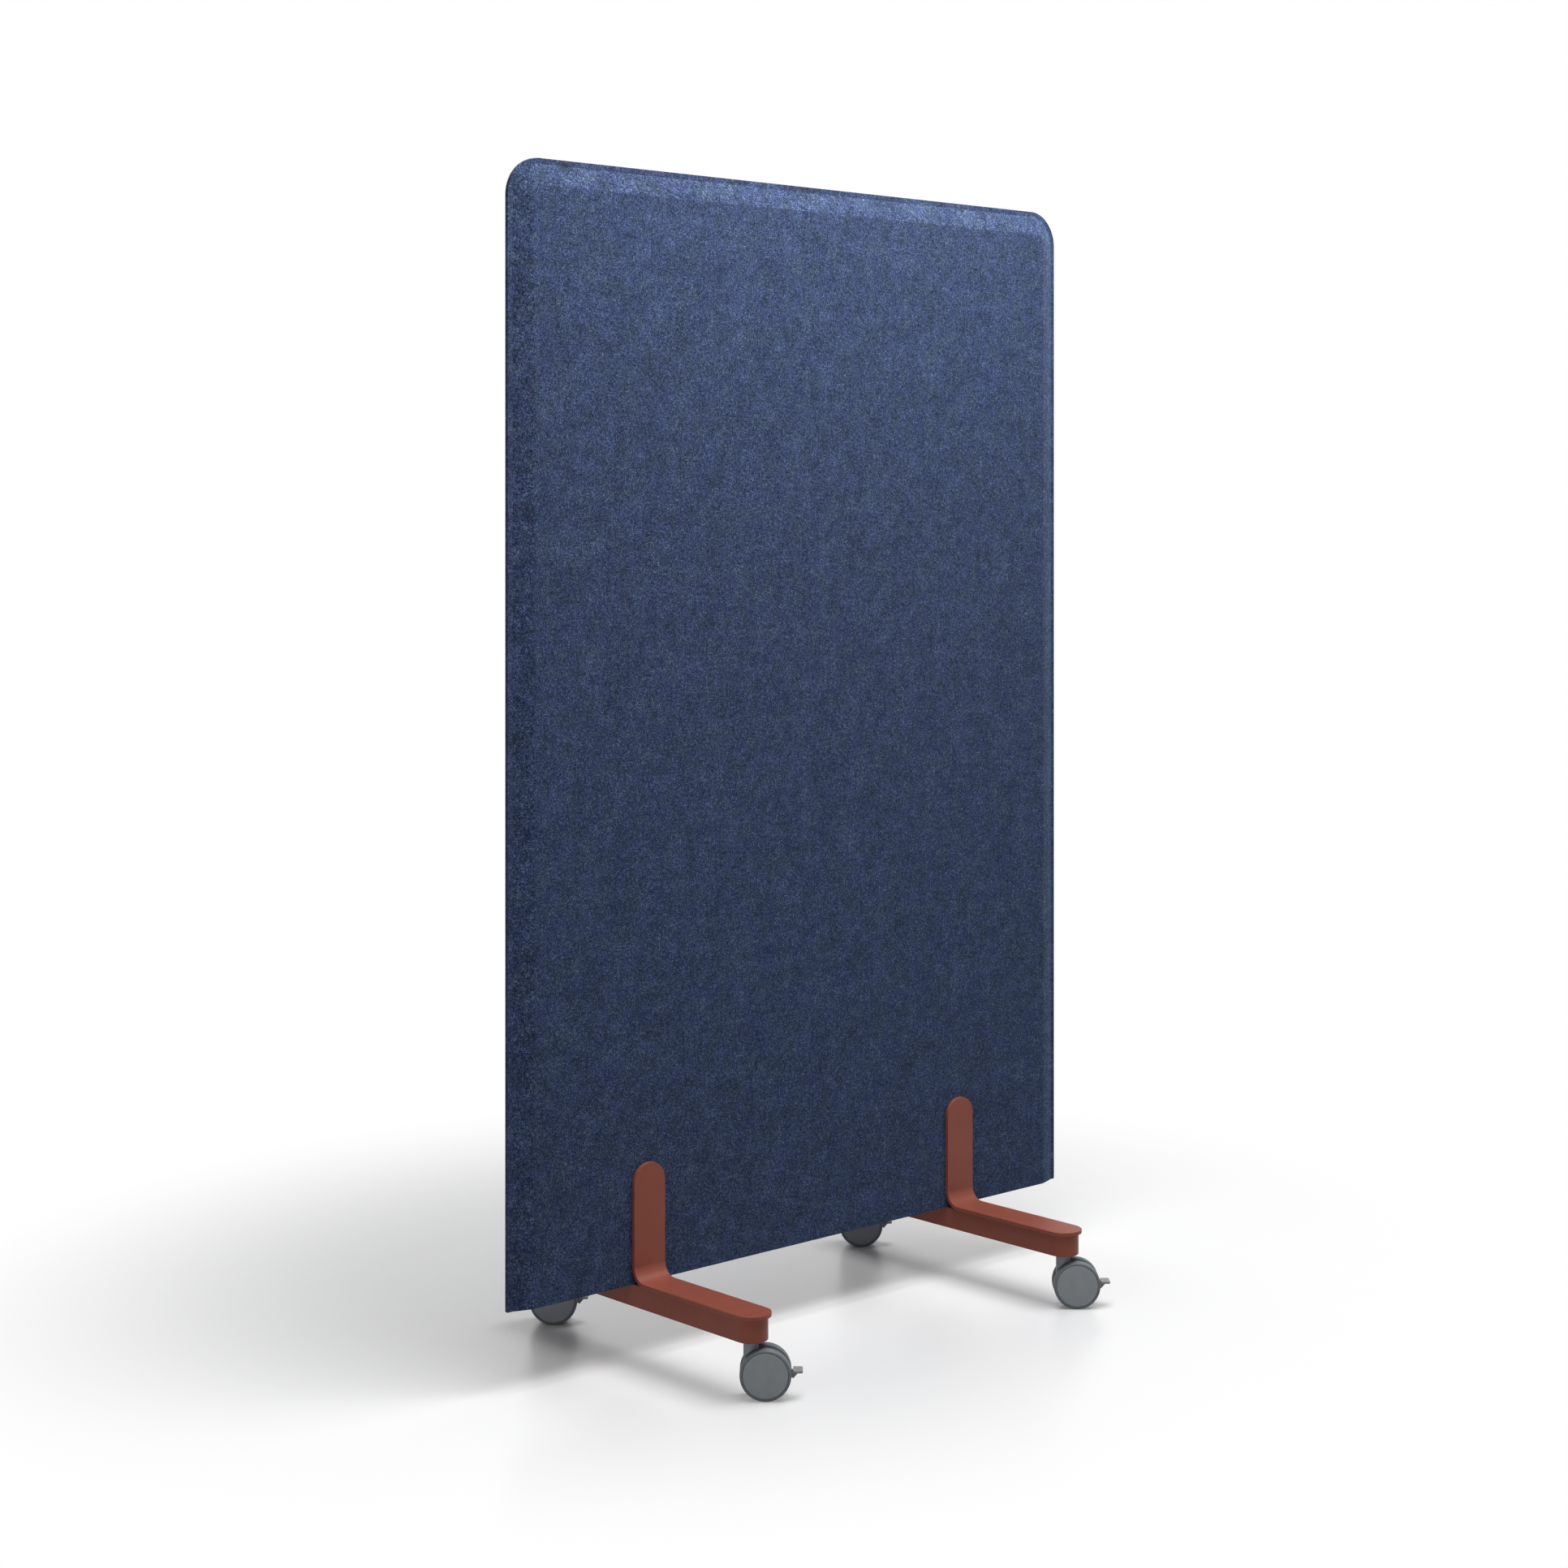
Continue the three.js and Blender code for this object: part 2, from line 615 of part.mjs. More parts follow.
// A wheel's disc, rim and hub in one moulding, closed on the outside and open on the inside.
function wheelDisc() {
  const inner = WHEEL_GAP / 2;
  const face = inner + WHEEL_WIDTH;
  const rim = RIM_DIAMETER / 2;
  const wall = face - DISC_DISH - DISC_WALL;
  const bore = AXLE_DIAMETER / 2 + HOLE_GAP;
  const profile = [
    [0, wall],
    [bore, wall],
    [bore, inner],
    [HUB_DIAMETER / 2, inner],
    [HUB_DIAMETER / 2, wall],
    [rim - RIM_WALL, wall],
    [rim - RIM_WALL, inner],
    [rim, inner],
    [rim, face - DISC_DISH],
    [0, face],
  ];
  return turned(profile, WHEEL_STEPS);
}

// A soft tread bonded round the rim, with a sloping shoulder on each side.
function tyre() {
  const inner = WHEEL_GAP / 2;
  const face = inner + WHEEL_WIDTH;
  const seat = RIM_DIAMETER / 2 + SEAT_GAP;
  const tread = WHEEL_RADIUS / Math.cos(Math.PI / WHEEL_STEPS);
  const profile = [
    [seat, inner],
    [tread - TYRE_SHOULDER, inner],
    [tread, inner + TYRE_SHOULDER],
    [tread, face - DISC_DISH - TYRE_SHOULDER],
    [tread - TYRE_SHOULDER, face - DISC_DISH],
    [seat, face - DISC_DISH],
    [seat, inner],
  ];
  return turned(profile, WHEEL_STEPS);
}

// The plate under the toe, square at the heel and rounded at the tip.
function toePlate(heelX, toeX) {
  const half = PEDAL_WIDTH / 2;
  const cornerX = toeX - PEDAL_CORNER;
  const shape = new THREE.Shape();
  shape.moveTo(heelX, -half);
  shape.absarc(cornerX, PEDAL_CORNER - half, PEDAL_CORNER, 1.5 * Math.PI, 2 * Math.PI);
  shape.absarc(cornerX, half - PEDAL_CORNER, PEDAL_CORNER, 0, Math.PI / 2);
  shape.lineTo(heelX, half);
  const middle = PEDAL_TOP_HEIGHT - PEDAL_THICKNESS / 2;
  return slab(shape, "z", middle, PEDAL_THICKNESS, WEB_STEPS / 4);
}

// The tongue round the pivot, which spreads into a gusset under the toe plate.
function tongueAndGusset(heelX) {
  const pivotX = TRAIL + PIVOT_REACH;
  const pivotZ = WHEEL_RADIUS + PIVOT_RISE;
  const under = PEDAL_TOP_HEIGHT - PEDAL_THICKNESS;
  const from = radians(TONGUE_START_DEGREES);
  const shape = new THREE.Shape();
  shape.absarc(pivotX, pivotZ, TONGUE_DIAMETER / 2, from, radians(TONGUE_END_DEGREES));
  shape.lineTo(heelX, under - GUSSET_DEPTH);
  shape.lineTo(heelX + GUSSET_REACH, under);
  shape.lineTo(heelX + GUSSET_REACH, PEDAL_TOP_HEIGHT);
  shape.lineTo(heelX, PEDAL_TOP_HEIGHT);
  return slab(shape, "y", 0, TONGUE_THICKNESS, WEB_STEPS / 2);
}

function pedal() {
  const toeX = TRAIL + PEDAL_REACH;
  const heelX = toeX - PEDAL_LENGTH;
  const half = WEB_THICKNESS / 2 - SEAT_GAP;
  const pivotZ = WHEEL_RADIUS + PIVOT_RISE;
  const ys = [-half, half];
  const trunnions = crossRod(PIVOT_DIAMETER / 2, TRAIL + PIVOT_REACH, pivotZ, ys, HOLE_STEPS);
  return joined(toePlate(heelX, toeX), tongueAndGusset(heelX), trunnions);
}

// The far wheel is the near one, turned half round the upright through the axle's middle.
function wheelPair(name) {
  const group = new THREE.Group();
  group.position.set(TRAIL, 0, WHEEL_RADIUS);
  for (const [number, turn] of [[1, Math.PI], [2, 0]]) {
    const wheel = new THREE.Group();
    wheel.rotation.z = turn;
    wheel.add(mesh(name + "_wheel_" + number, wheelDisc(), slatePlastic));
    wheel.add(mesh(name + "_tyre_" + number, tyre(), darkRubber));
    group.add(wheel);
  }
  group.add(mesh(name + "_axle", axle(), zinc));
  return group;
}

function castor(name, x, y) {
  const group = new THREE.Group();
  group.position.set(x, y, 0);
  group.rotation.z = CASTOR_TURN;
  group.add(mesh(name + "_stem", stem(), zinc));
  group.add(mesh(name + "_body", castorBody(), slatePlastic));
  group.add(wheelPair(name));
  group.add(mesh(name + "_pedal", pedal(), palePlastic));
  return group;
}

// ---------------------------------------------------------------- the whole partition

function partition() {
  const group = new THREE.Group();
  group.position.y = PANEL_SETBACK;
  group.add(panel());
  for (const place of footPlaces()) {
    group.add(foot(place));
    group.add(castor("front_" + place.name + "_castor", place.x, -SWIVEL_Y));
    group.add(castor("rear_" + place.name + "_castor", place.x, SWIVEL_Y));
  }
  return group;
}

export default partition();
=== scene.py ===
# %% [markdown]
# # A felt partition on castors
#
# The object is a free-standing screen: a panel of two moulded felt trays, pressed back to back
# round a wooden frame, on two feet. Each foot is a cast bar with a bent steel plate on either
# side of the panel and a braked twin-wheel castor under either end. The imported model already
# holds every piece at its true size. This lesson keeps it as a fixed frame, remodels what shows
# with smooth surfaces and gives every piece its finish. Everything is in metres, with +Z up and
# the front of the panel towards -Y.

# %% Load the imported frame
import json
import math

import bmesh
import bpy
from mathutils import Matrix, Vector

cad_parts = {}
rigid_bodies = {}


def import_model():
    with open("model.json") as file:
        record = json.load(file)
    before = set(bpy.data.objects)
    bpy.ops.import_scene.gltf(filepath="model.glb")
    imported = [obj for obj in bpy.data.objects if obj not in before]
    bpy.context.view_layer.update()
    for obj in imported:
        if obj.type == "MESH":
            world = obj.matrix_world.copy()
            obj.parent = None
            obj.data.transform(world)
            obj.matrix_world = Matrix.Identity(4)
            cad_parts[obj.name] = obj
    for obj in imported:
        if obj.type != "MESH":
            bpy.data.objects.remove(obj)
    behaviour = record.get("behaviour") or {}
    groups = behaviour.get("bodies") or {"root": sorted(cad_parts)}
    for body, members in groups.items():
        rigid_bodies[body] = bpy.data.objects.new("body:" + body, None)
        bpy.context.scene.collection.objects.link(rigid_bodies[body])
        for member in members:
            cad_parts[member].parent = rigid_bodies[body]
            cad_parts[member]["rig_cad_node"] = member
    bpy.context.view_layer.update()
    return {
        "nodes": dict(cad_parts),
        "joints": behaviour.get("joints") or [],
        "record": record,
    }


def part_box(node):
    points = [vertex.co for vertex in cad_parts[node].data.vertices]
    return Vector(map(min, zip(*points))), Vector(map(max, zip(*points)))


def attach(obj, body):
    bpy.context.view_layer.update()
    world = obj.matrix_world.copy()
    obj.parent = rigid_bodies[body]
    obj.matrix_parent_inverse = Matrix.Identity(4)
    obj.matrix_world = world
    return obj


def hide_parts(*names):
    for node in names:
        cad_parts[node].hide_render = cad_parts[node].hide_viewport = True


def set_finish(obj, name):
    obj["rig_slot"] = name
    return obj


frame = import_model()

# %% [markdown]
# ## Where things are
#
# A remodelled piece has to sit exactly where its node is, so the places are read from the nodes
# and the joints rather than typed in. The two trays meet in one upright plane, and everything
# about the panel and the feet is symmetrical about it. The castors all point one way, and the
# wheels' joint lies in that direction from the swivel joint.

# %% Read the places
MM = 0.001

tray_low, tray_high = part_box("front_felt_shell")
JOINT_Y = tray_high.y
HALF_WIDTH, PANEL_FOOT, PANEL_TOP = tray_high.x, tray_low.z, tray_high.z
HALF_THICKNESS = JOINT_Y - tray_low.y

bar_low, bar_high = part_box("right_foot_bar")
FOOT_X = (bar_low.x + bar_high.x) / 2
BAR_FOOT, BAR_TOP = bar_low.z, bar_high.z

joints = {joint["name"]: Vector(joint["pos_m"]) for joint in frame["joints"]}
CASTORS = {
    name.removesuffix("_swivel_turn"): place
    for name, place in joints.items()
    if name.endswith("_swivel_turn")
}
first_hub = joints["front_left_castor_wheel_1_spin"]
trail = first_hub - joints["front_left_castor_swivel_turn"]
TRAIL = math.hypot(trail.x, trail.y)
CASTOR_TURN = math.atan2(trail.y, trail.x)
AXLE_Z = first_hub.z
print("panel", HALF_WIDTH * 2, "x", PANEL_TOP, "joint plane", round(JOINT_Y, 5))
print("castors turned", round(math.degrees(CASTOR_TURN), 2), "degrees, trail", round(TRAIL, 4))

# %% [markdown]
# ## A few habits, written down once
#
# Blender's operators act on whatever is selected, so each step first selects its own piece and
# nothing else. New primitives get their place put into their mesh at once: from then on a
# corner's coordinates are its true place, and faces and edges can be found by where they are.

# %% Selecting and editing
def only(piece):
    bpy.ops.object.select_all(action="DESELECT")
    piece.select_set(True)
    bpy.context.view_layer.objects.active = piece


def settle(piece):
    only(piece)
    bpy.ops.object.transform_apply(location=True, rotation=True, scale=True)
    return piece


def added(name, size=(1, 1, 1)):
    piece = bpy.context.active_object
    piece.name = piece.data.name = name
    piece.scale = size
    return settle(piece)


def edit(piece):
    only(piece)
    bpy.ops.object.mode_set(mode="EDIT")
    bpy.ops.mesh.select_mode(type="VERT")
    bpy.ops.mesh.select_all(action="SELECT")


def done():
    bpy.ops.object.mode_set(mode="OBJECT")


def pick(piece, kind, test):
    bpy.ops.mesh.select_mode(type=kind)
    bpy.ops.mesh.select_all(action="DESELECT")
    shape = bmesh.from_edit_mesh(piece.data)
    parts = {"VERT": shape.verts, "EDGE": shape.edges, "FACE": shape.faces}[kind]
    found = [part for part in parts if test(part)]
    for part in found:
        part.select_set(True)
    shape.select_flush_mode()
    bmesh.update_edit_mesh(piece.data)
    return len(found)


def extrude(by):
    bpy.ops.mesh.extrude_region_move(TRANSFORM_OT_translate={"value": by})


print("helpers ready")

# %% [markdown]
# Modifiers finish a piece: a wall gets its thickness, an edge its small radius, two solids are
# joined or one is cut by another. They are applied straight away, so that the finished mesh is
# what rides on its body. Weighted normals keep broad faces flat beside their narrow edge radii.

# %% Finishing with modifiers
def modify(piece, kind, **settings):
    only(piece)
    modifier = piece.modifiers.new(kind.lower(), kind)
    for name, value in settings.items():
        setattr(modifier, name, value)
    bpy.ops.object.modifier_apply(modifier=modifier.name)
    return piece


def combine(piece, tool, operation):
    modify(piece, "BOOLEAN", operation=operation, object=tool, solver="EXACT")
    bpy.data.objects.remove(tool)
    return piece


def round_edges(piece, radius, angle=40, segments=3):
    limit = math.radians(angle)
    modify(piece, "BEVEL", width=radius, segments=segments, limit_method="ANGLE",
           angle_limit=limit, use_clamp_overlap=True)
    return piece


def smooth(piece, angle=35):
    only(piece)
    bpy.ops.object.shade_smooth_by_angle(angle=math.radians(angle))
    modify(piece, "WEIGHTED_NORMAL", keep_sharp=True)
    print(piece.name, len(piece.data.polygons), "faces")
    return piece


print("modifiers ready")

# %% [markdown]
# Turned pieces such as wheels and stems start as a line: one corner of a plane, extruded from
# point to point, which is then spun about its axis. An outline such as the castor's web starts
# the same way and is filled and extruded. A rod starts as a cylinder between two places. What
# repeats is modelled once and copied with a mesh of its own. Each finished piece is then handed
# over: it rides on its body, is given a slot for its finish and takes the place of its node.

# %% Drawing, turning and rods
def draw(name, points):
    bpy.ops.object.select_all(action="DESELECT")
    bpy.ops.mesh.primitive_plane_add(size=MM, location=points[0])
    line = added(name)
    edit(line)
    bpy.ops.mesh.merge(type="CENTER")
    for here, there in zip(points, points[1:]):
        step = Vector(there) - Vector(here)
        bpy.ops.mesh.extrude_vertices_move(TRANSFORM_OT_translate={"value": step})
    done()
    return line


def turn(name, profile, centre, axis, steps):
    piece = draw(name, profile)
    edit(piece)
    bpy.ops.mesh.spin(steps=steps, angle=math.tau, center=centre, axis=axis)
    bpy.ops.mesh.select_all(action="SELECT")
    bpy.ops.mesh.remove_doubles(threshold=0.001 * MM)
    bpy.ops.mesh.normals_make_consistent(inside=False)
    done()
    return piece


def slab(name, outline, depth):
    piece = draw(name, [*outline, outline[0]])
    edit(piece)
    bpy.ops.mesh.remove_doubles(threshold=0.001 * MM)
    bpy.ops.mesh.edge_face_add()
    extrude(depth)
    bpy.ops.mesh.select_all(action="SELECT")
    bpy.ops.mesh.normals_make_consistent(inside=False)
    done()
    return piece


def rod(name, radius, start, end, steps=48):
    start, end = Vector(start), Vector(end)
    turned = (end - start).to_track_quat("Z", "Y").to_euler()
    bpy.ops.object.select_all(action="DESELECT")
    bpy.ops.mesh.primitive_cylinder_add(vertices=steps, radius=radius,
                                        depth=(end - start).length,
                                        location=(start + end) / 2, rotation=turned)
    return added(name)


def copy_of(piece, name, turned=0.0, place=(0, 0, 0)):
    twin = piece.copy()
    twin.data = piece.data.copy()
    twin.name = twin.data.name = name
    bpy.context.scene.collection.objects.link(twin)
    twin.rotation_euler.z = turned
    twin.location = place
    return settle(twin)


def hand_over(piece, body, slot, *nodes):
    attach(piece, body)
    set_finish(piece, slot)
    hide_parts(*nodes)


print("drawing tools ready")

# %% [markdown]
# ## The camera
#
# The picture was taken with the camera level and the lens shifted down, as furniture often is,
# so that the uprights stay parallel. Its place, direction, lens and shift were solved from the
# two vanishing points and from forty measured edges.

# %% Place the camera
camera_data = bpy.data.cameras.new("camera")
camera_data.lens = 62.306
camera_data.sensor_width = 36
camera_data.shift_y = -0.1738
camera = bpy.data.objects.new("camera", camera_data)
camera.location = (-2.9469, -3.1684, 1.2819)
camera.rotation_euler = (math.radians(90), 0, math.radians(-42.364))
bpy.context.scene.collection.objects.link(camera)
bpy.context.scene.camera = camera
print("camera", tuple(round(value, 3) for value in camera.location), "lens", camera_data.lens)

# %% [markdown]
# ## Felt, moulded hot
#
# The panel's skin is polyester felt, laid in blue fibres of several tones and pressed hot into
# a shallow tray. Its rim stays thin as a flange, the margin rises from there in a nearly straight
# slope that eases over a soft shoulder, and the rest is flat. A plane is enough to start with: the
# top corners are rounded, and then the face is inset again and again, each time a little further
# in and a little further out, as the mould's section asks. The plane begins below the panel's foot
# and is cut off flat there, because the real tray is sawn to length after pressing.

# %% Press the front tray
CORNER_RADIUS = 58 * MM
FLANGE_WIDTH = 8 * MM
FLANGE_THICKNESS = 3.2 * MM
MARGIN_WIDTH = 34 * MM
SHOULDER_POWER = 1.2
CREASE_WIDTH = 0.7 * MM
CREASE_DEPTH = 0.3 * MM
FELT_WALL = 2.9 * MM
MARGIN_STEPS = 14
below = MARGIN_WIDTH + 2 * FLANGE_WIDTH

bpy.ops.object.select_all(action="DESELECT")
bpy.ops.mesh.primitive_plane_add(
    size=1, rotation=(math.pi / 2, 0, 0),
    location=(0, JOINT_Y - FLANGE_THICKNESS, (PANEL_TOP + PANEL_FOOT - below) / 2))
front_cover = added("front_felt_cover", (2 * HALF_WIDTH, PANEL_TOP - PANEL_FOOT + below, 1))
edit(front_cover)
corners = pick(front_cover, "VERT", lambda corner: corner.co.z > PANEL_TOP - MM)
bpy.ops.mesh.bevel(offset=CORNER_RADIUS, segments=28, affect="VERTICES")
bpy.ops.mesh.select_mode(type="FACE")
bpy.ops.mesh.select_all(action="SELECT")
bpy.ops.mesh.inset(thickness=FLANGE_WIDTH, depth=0)
bpy.ops.mesh.inset(thickness=CREASE_WIDTH / 2, depth=-CREASE_DEPTH)
bpy.ops.mesh.inset(thickness=CREASE_WIDTH / 2, depth=CREASE_DEPTH)
rise = HALF_THICKNESS - FLANGE_THICKNESS
reach = MARGIN_WIDTH - CREASE_WIDTH
for step in range(MARGIN_STEPS):
    left = (1 - step / MARGIN_STEPS) ** SHOULDER_POWER
    left_after = (1 - (step + 1) / MARGIN_STEPS) ** SHOULDER_POWER
    bpy.ops.mesh.inset(thickness=reach / MARGIN_STEPS, depth=rise * (left - left_after))
bpy.ops.mesh.select_all(action="SELECT")
bpy.ops.mesh.bisect(plane_co=(0, 0, PANEL_FOOT), plane_no=(0, 0, 1), clear_inner=True)
done()
modify(front_cover, "SOLIDIFY", thickness=FELT_WALL, offset=-1)
round_edges(front_cover, 0.7 * MM, angle=60)
smooth(front_cover, 40)
front_low = min(corner.co.y for corner in front_cover.data.vertices)
print("corners rounded", corners, "face at", round(front_low, 5), "node's at", round(tray_low.y, 5))

# %% [markdown]
# The rear tray is the same pressing, turned half round the upright line through the joint plane.

# %% Copy the rear tray
rear_cover = copy_of(front_cover, "rear_felt_cover", turned=math.pi, place=(0, 2 * JOINT_Y, 0))
hand_over(front_cover, "partition", "felt", "front_felt_shell")
hand_over(rear_cover, "partition", "felt", "rear_felt_shell")
print("rear tray reaches", round(max(corner.co.y for corner in rear_cover.data.vertices), 5))

# %% [markdown]
# ## The foot plates
#
# Each plate is a 60 mm strip of 6 mm steel, half round at both ends and bent once, with its
# upright leg against the felt and its lower leg on the bar. It is modelled as it is made: a flat
# strip, whose lower edge is spun through a quarter turn for the bend and then drawn out. The
# strip's corners are rounded last, and the wall thickness goes towards the felt and the bar.

# %% Bend one foot plate
PLATE_WIDTH = 60 * MM
PLATE_THICKNESS = 6 * MM
PLATE_TOP = 300 * MM
BEND_RADIUS = 22 * MM
SEAT_GAP = 0.3 * MM
plate_front_y = JOINT_Y - HALF_THICKNESS - SEAT_GAP - PLATE_THICKNESS
plate_tip_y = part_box("right_front_bracket")[0].y
plate_face_z = BAR_TOP + PLATE_THICKNESS
bend_y = plate_front_y - BEND_RADIUS
bend_z = plate_face_z + BEND_RADIUS

bpy.ops.object.select_all(action="DESELECT")
bpy.ops.mesh.primitive_plane_add(
    size=1, rotation=(math.pi / 2, 0, 0),
    location=(FOOT_X, plate_front_y, (PLATE_TOP + bend_z) / 2))
plate = added("right_front_foot_plate", (PLATE_WIDTH, PLATE_TOP - bend_z, 1))
edit(plate)
pick(plate, "EDGE", lambda edge: all(corner.co.z < bend_z + MM for corner in edge.verts))
bpy.ops.mesh.spin(steps=20, angle=math.pi / 2, center=(FOOT_X, bend_y, bend_z), axis=(1, 0, 0))
extrude((0, plate_tip_y - bend_y, 0))
pick(plate, "VERT", lambda corner: corner.co.z > PLATE_TOP - MM or corner.co.y < plate_tip_y + MM)
bpy.ops.mesh.bevel(offset=PLATE_WIDTH / 2 - 0.01 * MM, segments=24, affect="VERTICES")
done()
modify(plate, "SOLIDIFY", thickness=PLATE_THICKNESS, offset=-1, use_even_offset=True)
round_edges(plate, 0.9 * MM, angle=60, segments=4)
print("plate from z", round(min(corner.co.z for corner in plate.data.vertices), 5),
      "to y", round(max(corner.co.y for corner in plate.data.vertices), 5))

# %% [markdown]
# Two steel pins are welded into the back of the upright leg and sit in the panel's bottom rail.
# Two threaded studs are welded into the lower leg and go down through the bar's roof to nuts.
# They are rods with a chamfered end, joined to the plate by a boolean. The other three plates
# are copies: one foot is the other moved across, and the rear is the front turned half round.

# %% Weld on pins and studs, then copy the plate
PIN_RADIUS = 4 * MM
PIN_HEIGHTS = (190 * MM, 260 * MM)
PIN_REACH = 10.3 * MM
STUD_RADIUS = 3 * MM
STUD_PLACES = (80 * MM, 200 * MM)
BAR_ROOF = 5 * MM
NUT_HEIGHT = 5 * MM
STUD_END = 2 * MM
weld = PLATE_THICKNESS / 2

for height in PIN_HEIGHTS:
    start = (FOOT_X, plate_front_y + weld, height)
    end = (FOOT_X, plate_front_y + PLATE_THICKNESS + PIN_REACH, height)
    combine(plate, round_edges(rod("pin", PIN_RADIUS, start, end), 0.6 * MM, 60, 1), "UNION")
stud_foot = BAR_TOP - BAR_ROOF - NUT_HEIGHT - STUD_END
for place in STUD_PLACES:
    start = (FOOT_X, JOINT_Y - place, stud_foot)
    end = (FOOT_X, JOINT_Y - place, BAR_TOP + weld)
    combine(plate, round_edges(rod("stud", STUD_RADIUS, start, end), 0.5 * MM, 60, 1), "UNION")
smooth(plate)

plates = {
    "right_front": plate,
    "right_rear": copy_of(plate, "right_rear_foot_plate", math.pi, (2 * FOOT_X, 2 * JOINT_Y, 0)),
    "left_front": copy_of(plate, "left_front_foot_plate", 0, (-2 * FOOT_X, 0, 0)),
    "left_rear": copy_of(plate, "left_rear_foot_plate", math.pi, (0, 2 * JOINT_Y, 0)),
}
for corner, piece in plates.items():
    hand_over(piece, "partition", "painted_metal", corner + "_bracket")

# %% [markdown]
# ## The foot bars
#
# A bar is cast in aluminium: a long rounded shell, open underneath, with a boss at either end for
# the castor's stem and ribs across it. A cylinder whose two halves are pulled apart gives the
# rounded outline, its lower face is inset by the wall and pushed up to make the hollow, and the
# bosses and ribs are joined in before the sockets and the stud holes are cut.

# %% Cast one foot bar
BAR_WIDTH = 50 * MM
BAR_WALL = 4 * MM
RIB_THICKNESS = 3 * MM
RIB_DEPTH = 16 * MM
RIB_PLACE = 130 * MM
BOSS_RADIUS = 13 * MM
SWIVEL_REACH = (bar_high.y - bar_low.y - BAR_WIDTH) / 2
under_roof = BAR_TOP - BAR_ROOF

bpy.ops.object.select_all(action="DESELECT")
bpy.ops.mesh.primitive_cylinder_add(vertices=96, radius=BAR_WIDTH / 2, depth=BAR_TOP - BAR_FOOT,
                                    location=(FOOT_X, JOINT_Y, (BAR_TOP + BAR_FOOT) / 2))
bar = added("right_foot_bar_casting")
edit(bar)
for side in (-1, 1):
    pick(bar, "VERT", lambda corner: side * (corner.co.y - JOINT_Y) > MM)
    bpy.ops.transform.translate(value=(0, side * SWIVEL_REACH, 0))
pick(bar, "FACE", lambda face: face.normal.z < -0.9)
bpy.ops.mesh.inset(thickness=BAR_WALL)
extrude((0, 0, under_roof - BAR_FOOT))
done()
round_edges(bar, 1.1 * MM, angle=60, segments=4)

for side in (-1, 1):
    boss_y = JOINT_Y + side * SWIVEL_REACH
    boss = rod("boss", BOSS_RADIUS,
               (FOOT_X, boss_y, BAR_FOOT), (FOOT_X, boss_y, under_roof + MM))
    combine(bar, round_edges(boss, 0.8 * MM, 60, 2), "UNION")
for place in (-SWIVEL_REACH, -RIB_PLACE, 0, RIB_PLACE, SWIVEL_REACH):
    bpy.ops.object.select_all(action="DESELECT")
    bpy.ops.mesh.primitive_cube_add(
        size=1, location=(FOOT_X, JOINT_Y + place, under_roof + MM / 2 - RIB_DEPTH / 2))
    rib = added("rib", (BAR_WIDTH - BAR_WALL, RIB_THICKNESS, RIB_DEPTH + MM))
    combine(bar, round_edges(rib, 0.8 * MM, 60, 2), "UNION")
print("bar joined", len(bar.data.polygons), "faces")

# %% [markdown]
# The castors' stems go up into sockets in the bosses, and the plates' studs come down through
# holes in the roof. Both are cut by rods a little wider than what goes in, as a drill would, and
# start or end a millimetre outside the bar, so that no face lies exactly on another.

# %% Cut the sockets and the stud holes, then copy the bar
STEM_RADIUS = 5 * MM
STEM_SOCKET = 26.3 * MM
HOLE_GAP = 0.3 * MM
for side in (-1, 1):
    socket_y = JOINT_Y + side * SWIVEL_REACH
    socket = rod("socket", STEM_RADIUS + HOLE_GAP,
                 (FOOT_X, socket_y, BAR_FOOT - MM), (FOOT_X, socket_y, BAR_FOOT + STEM_SOCKET))
    combine(bar, socket, "DIFFERENCE")
    for place in STUD_PLACES:
        hole_y = JOINT_Y + side * place
        hole = rod("hole", STUD_RADIUS + HOLE_GAP, (FOOT_X, hole_y, under_roof - 2 * MM),
                   (FOOT_X, hole_y, BAR_TOP + MM))
        combine(bar, hole, "DIFFERENCE")
smooth(bar)
left_bar = copy_of(bar, "left_foot_bar_casting", 0, (-2 * FOOT_X, 0, 0))
hand_over(bar, "partition", "painted_metal", "right_foot_bar")
hand_over(left_bar, "partition", "painted_metal", "left_foot_bar")

# %% [markdown]
# Eight hexagonal nuts hold the plates from inside the bars. A six-sided cylinder is the start:
# its edges are rounded off and the hole for the stud goes through.

# %% Make the nuts
HALF_SPANNER_WIDTH = 5 * MM
NUT_CORNER = HALF_SPANNER_WIDTH / math.cos(math.radians(30))
nut = rod("nut", NUT_CORNER, (0, 0, 0), (0, 0, NUT_HEIGHT), 6)
round_edges(nut, 0.5 * MM, 30, 2)
nut_bore = rod("bore", STUD_RADIUS + HOLE_GAP, (0, 0, -MM), (0, 0, NUT_HEIGHT + MM))
combine(nut, nut_bore, "DIFFERENCE")
round_edges(nut, 0.2 * MM, 60, 1)
smooth(nut)
for side, x in (("left", -FOOT_X), ("right", FOOT_X)):
    for end, sign in (("front", -1), ("rear", 1)):
        for seat, place in zip(("inner", "outer"), STUD_PLACES):
            node = f"{side}_{end}_{seat}_nut"
            place_of_nut = (x, JOINT_Y + sign * place, under_roof - NUT_HEIGHT)
            twin = copy_of(nut, node.replace("nut", "hex_nut"), 0, place_of_nut)
            hand_over(twin, "partition", "zinc", node)
bpy.data.objects.remove(nut)
print("nuts from z", round(under_roof - NUT_HEIGHT, 4), "to", round(under_roof, 4))

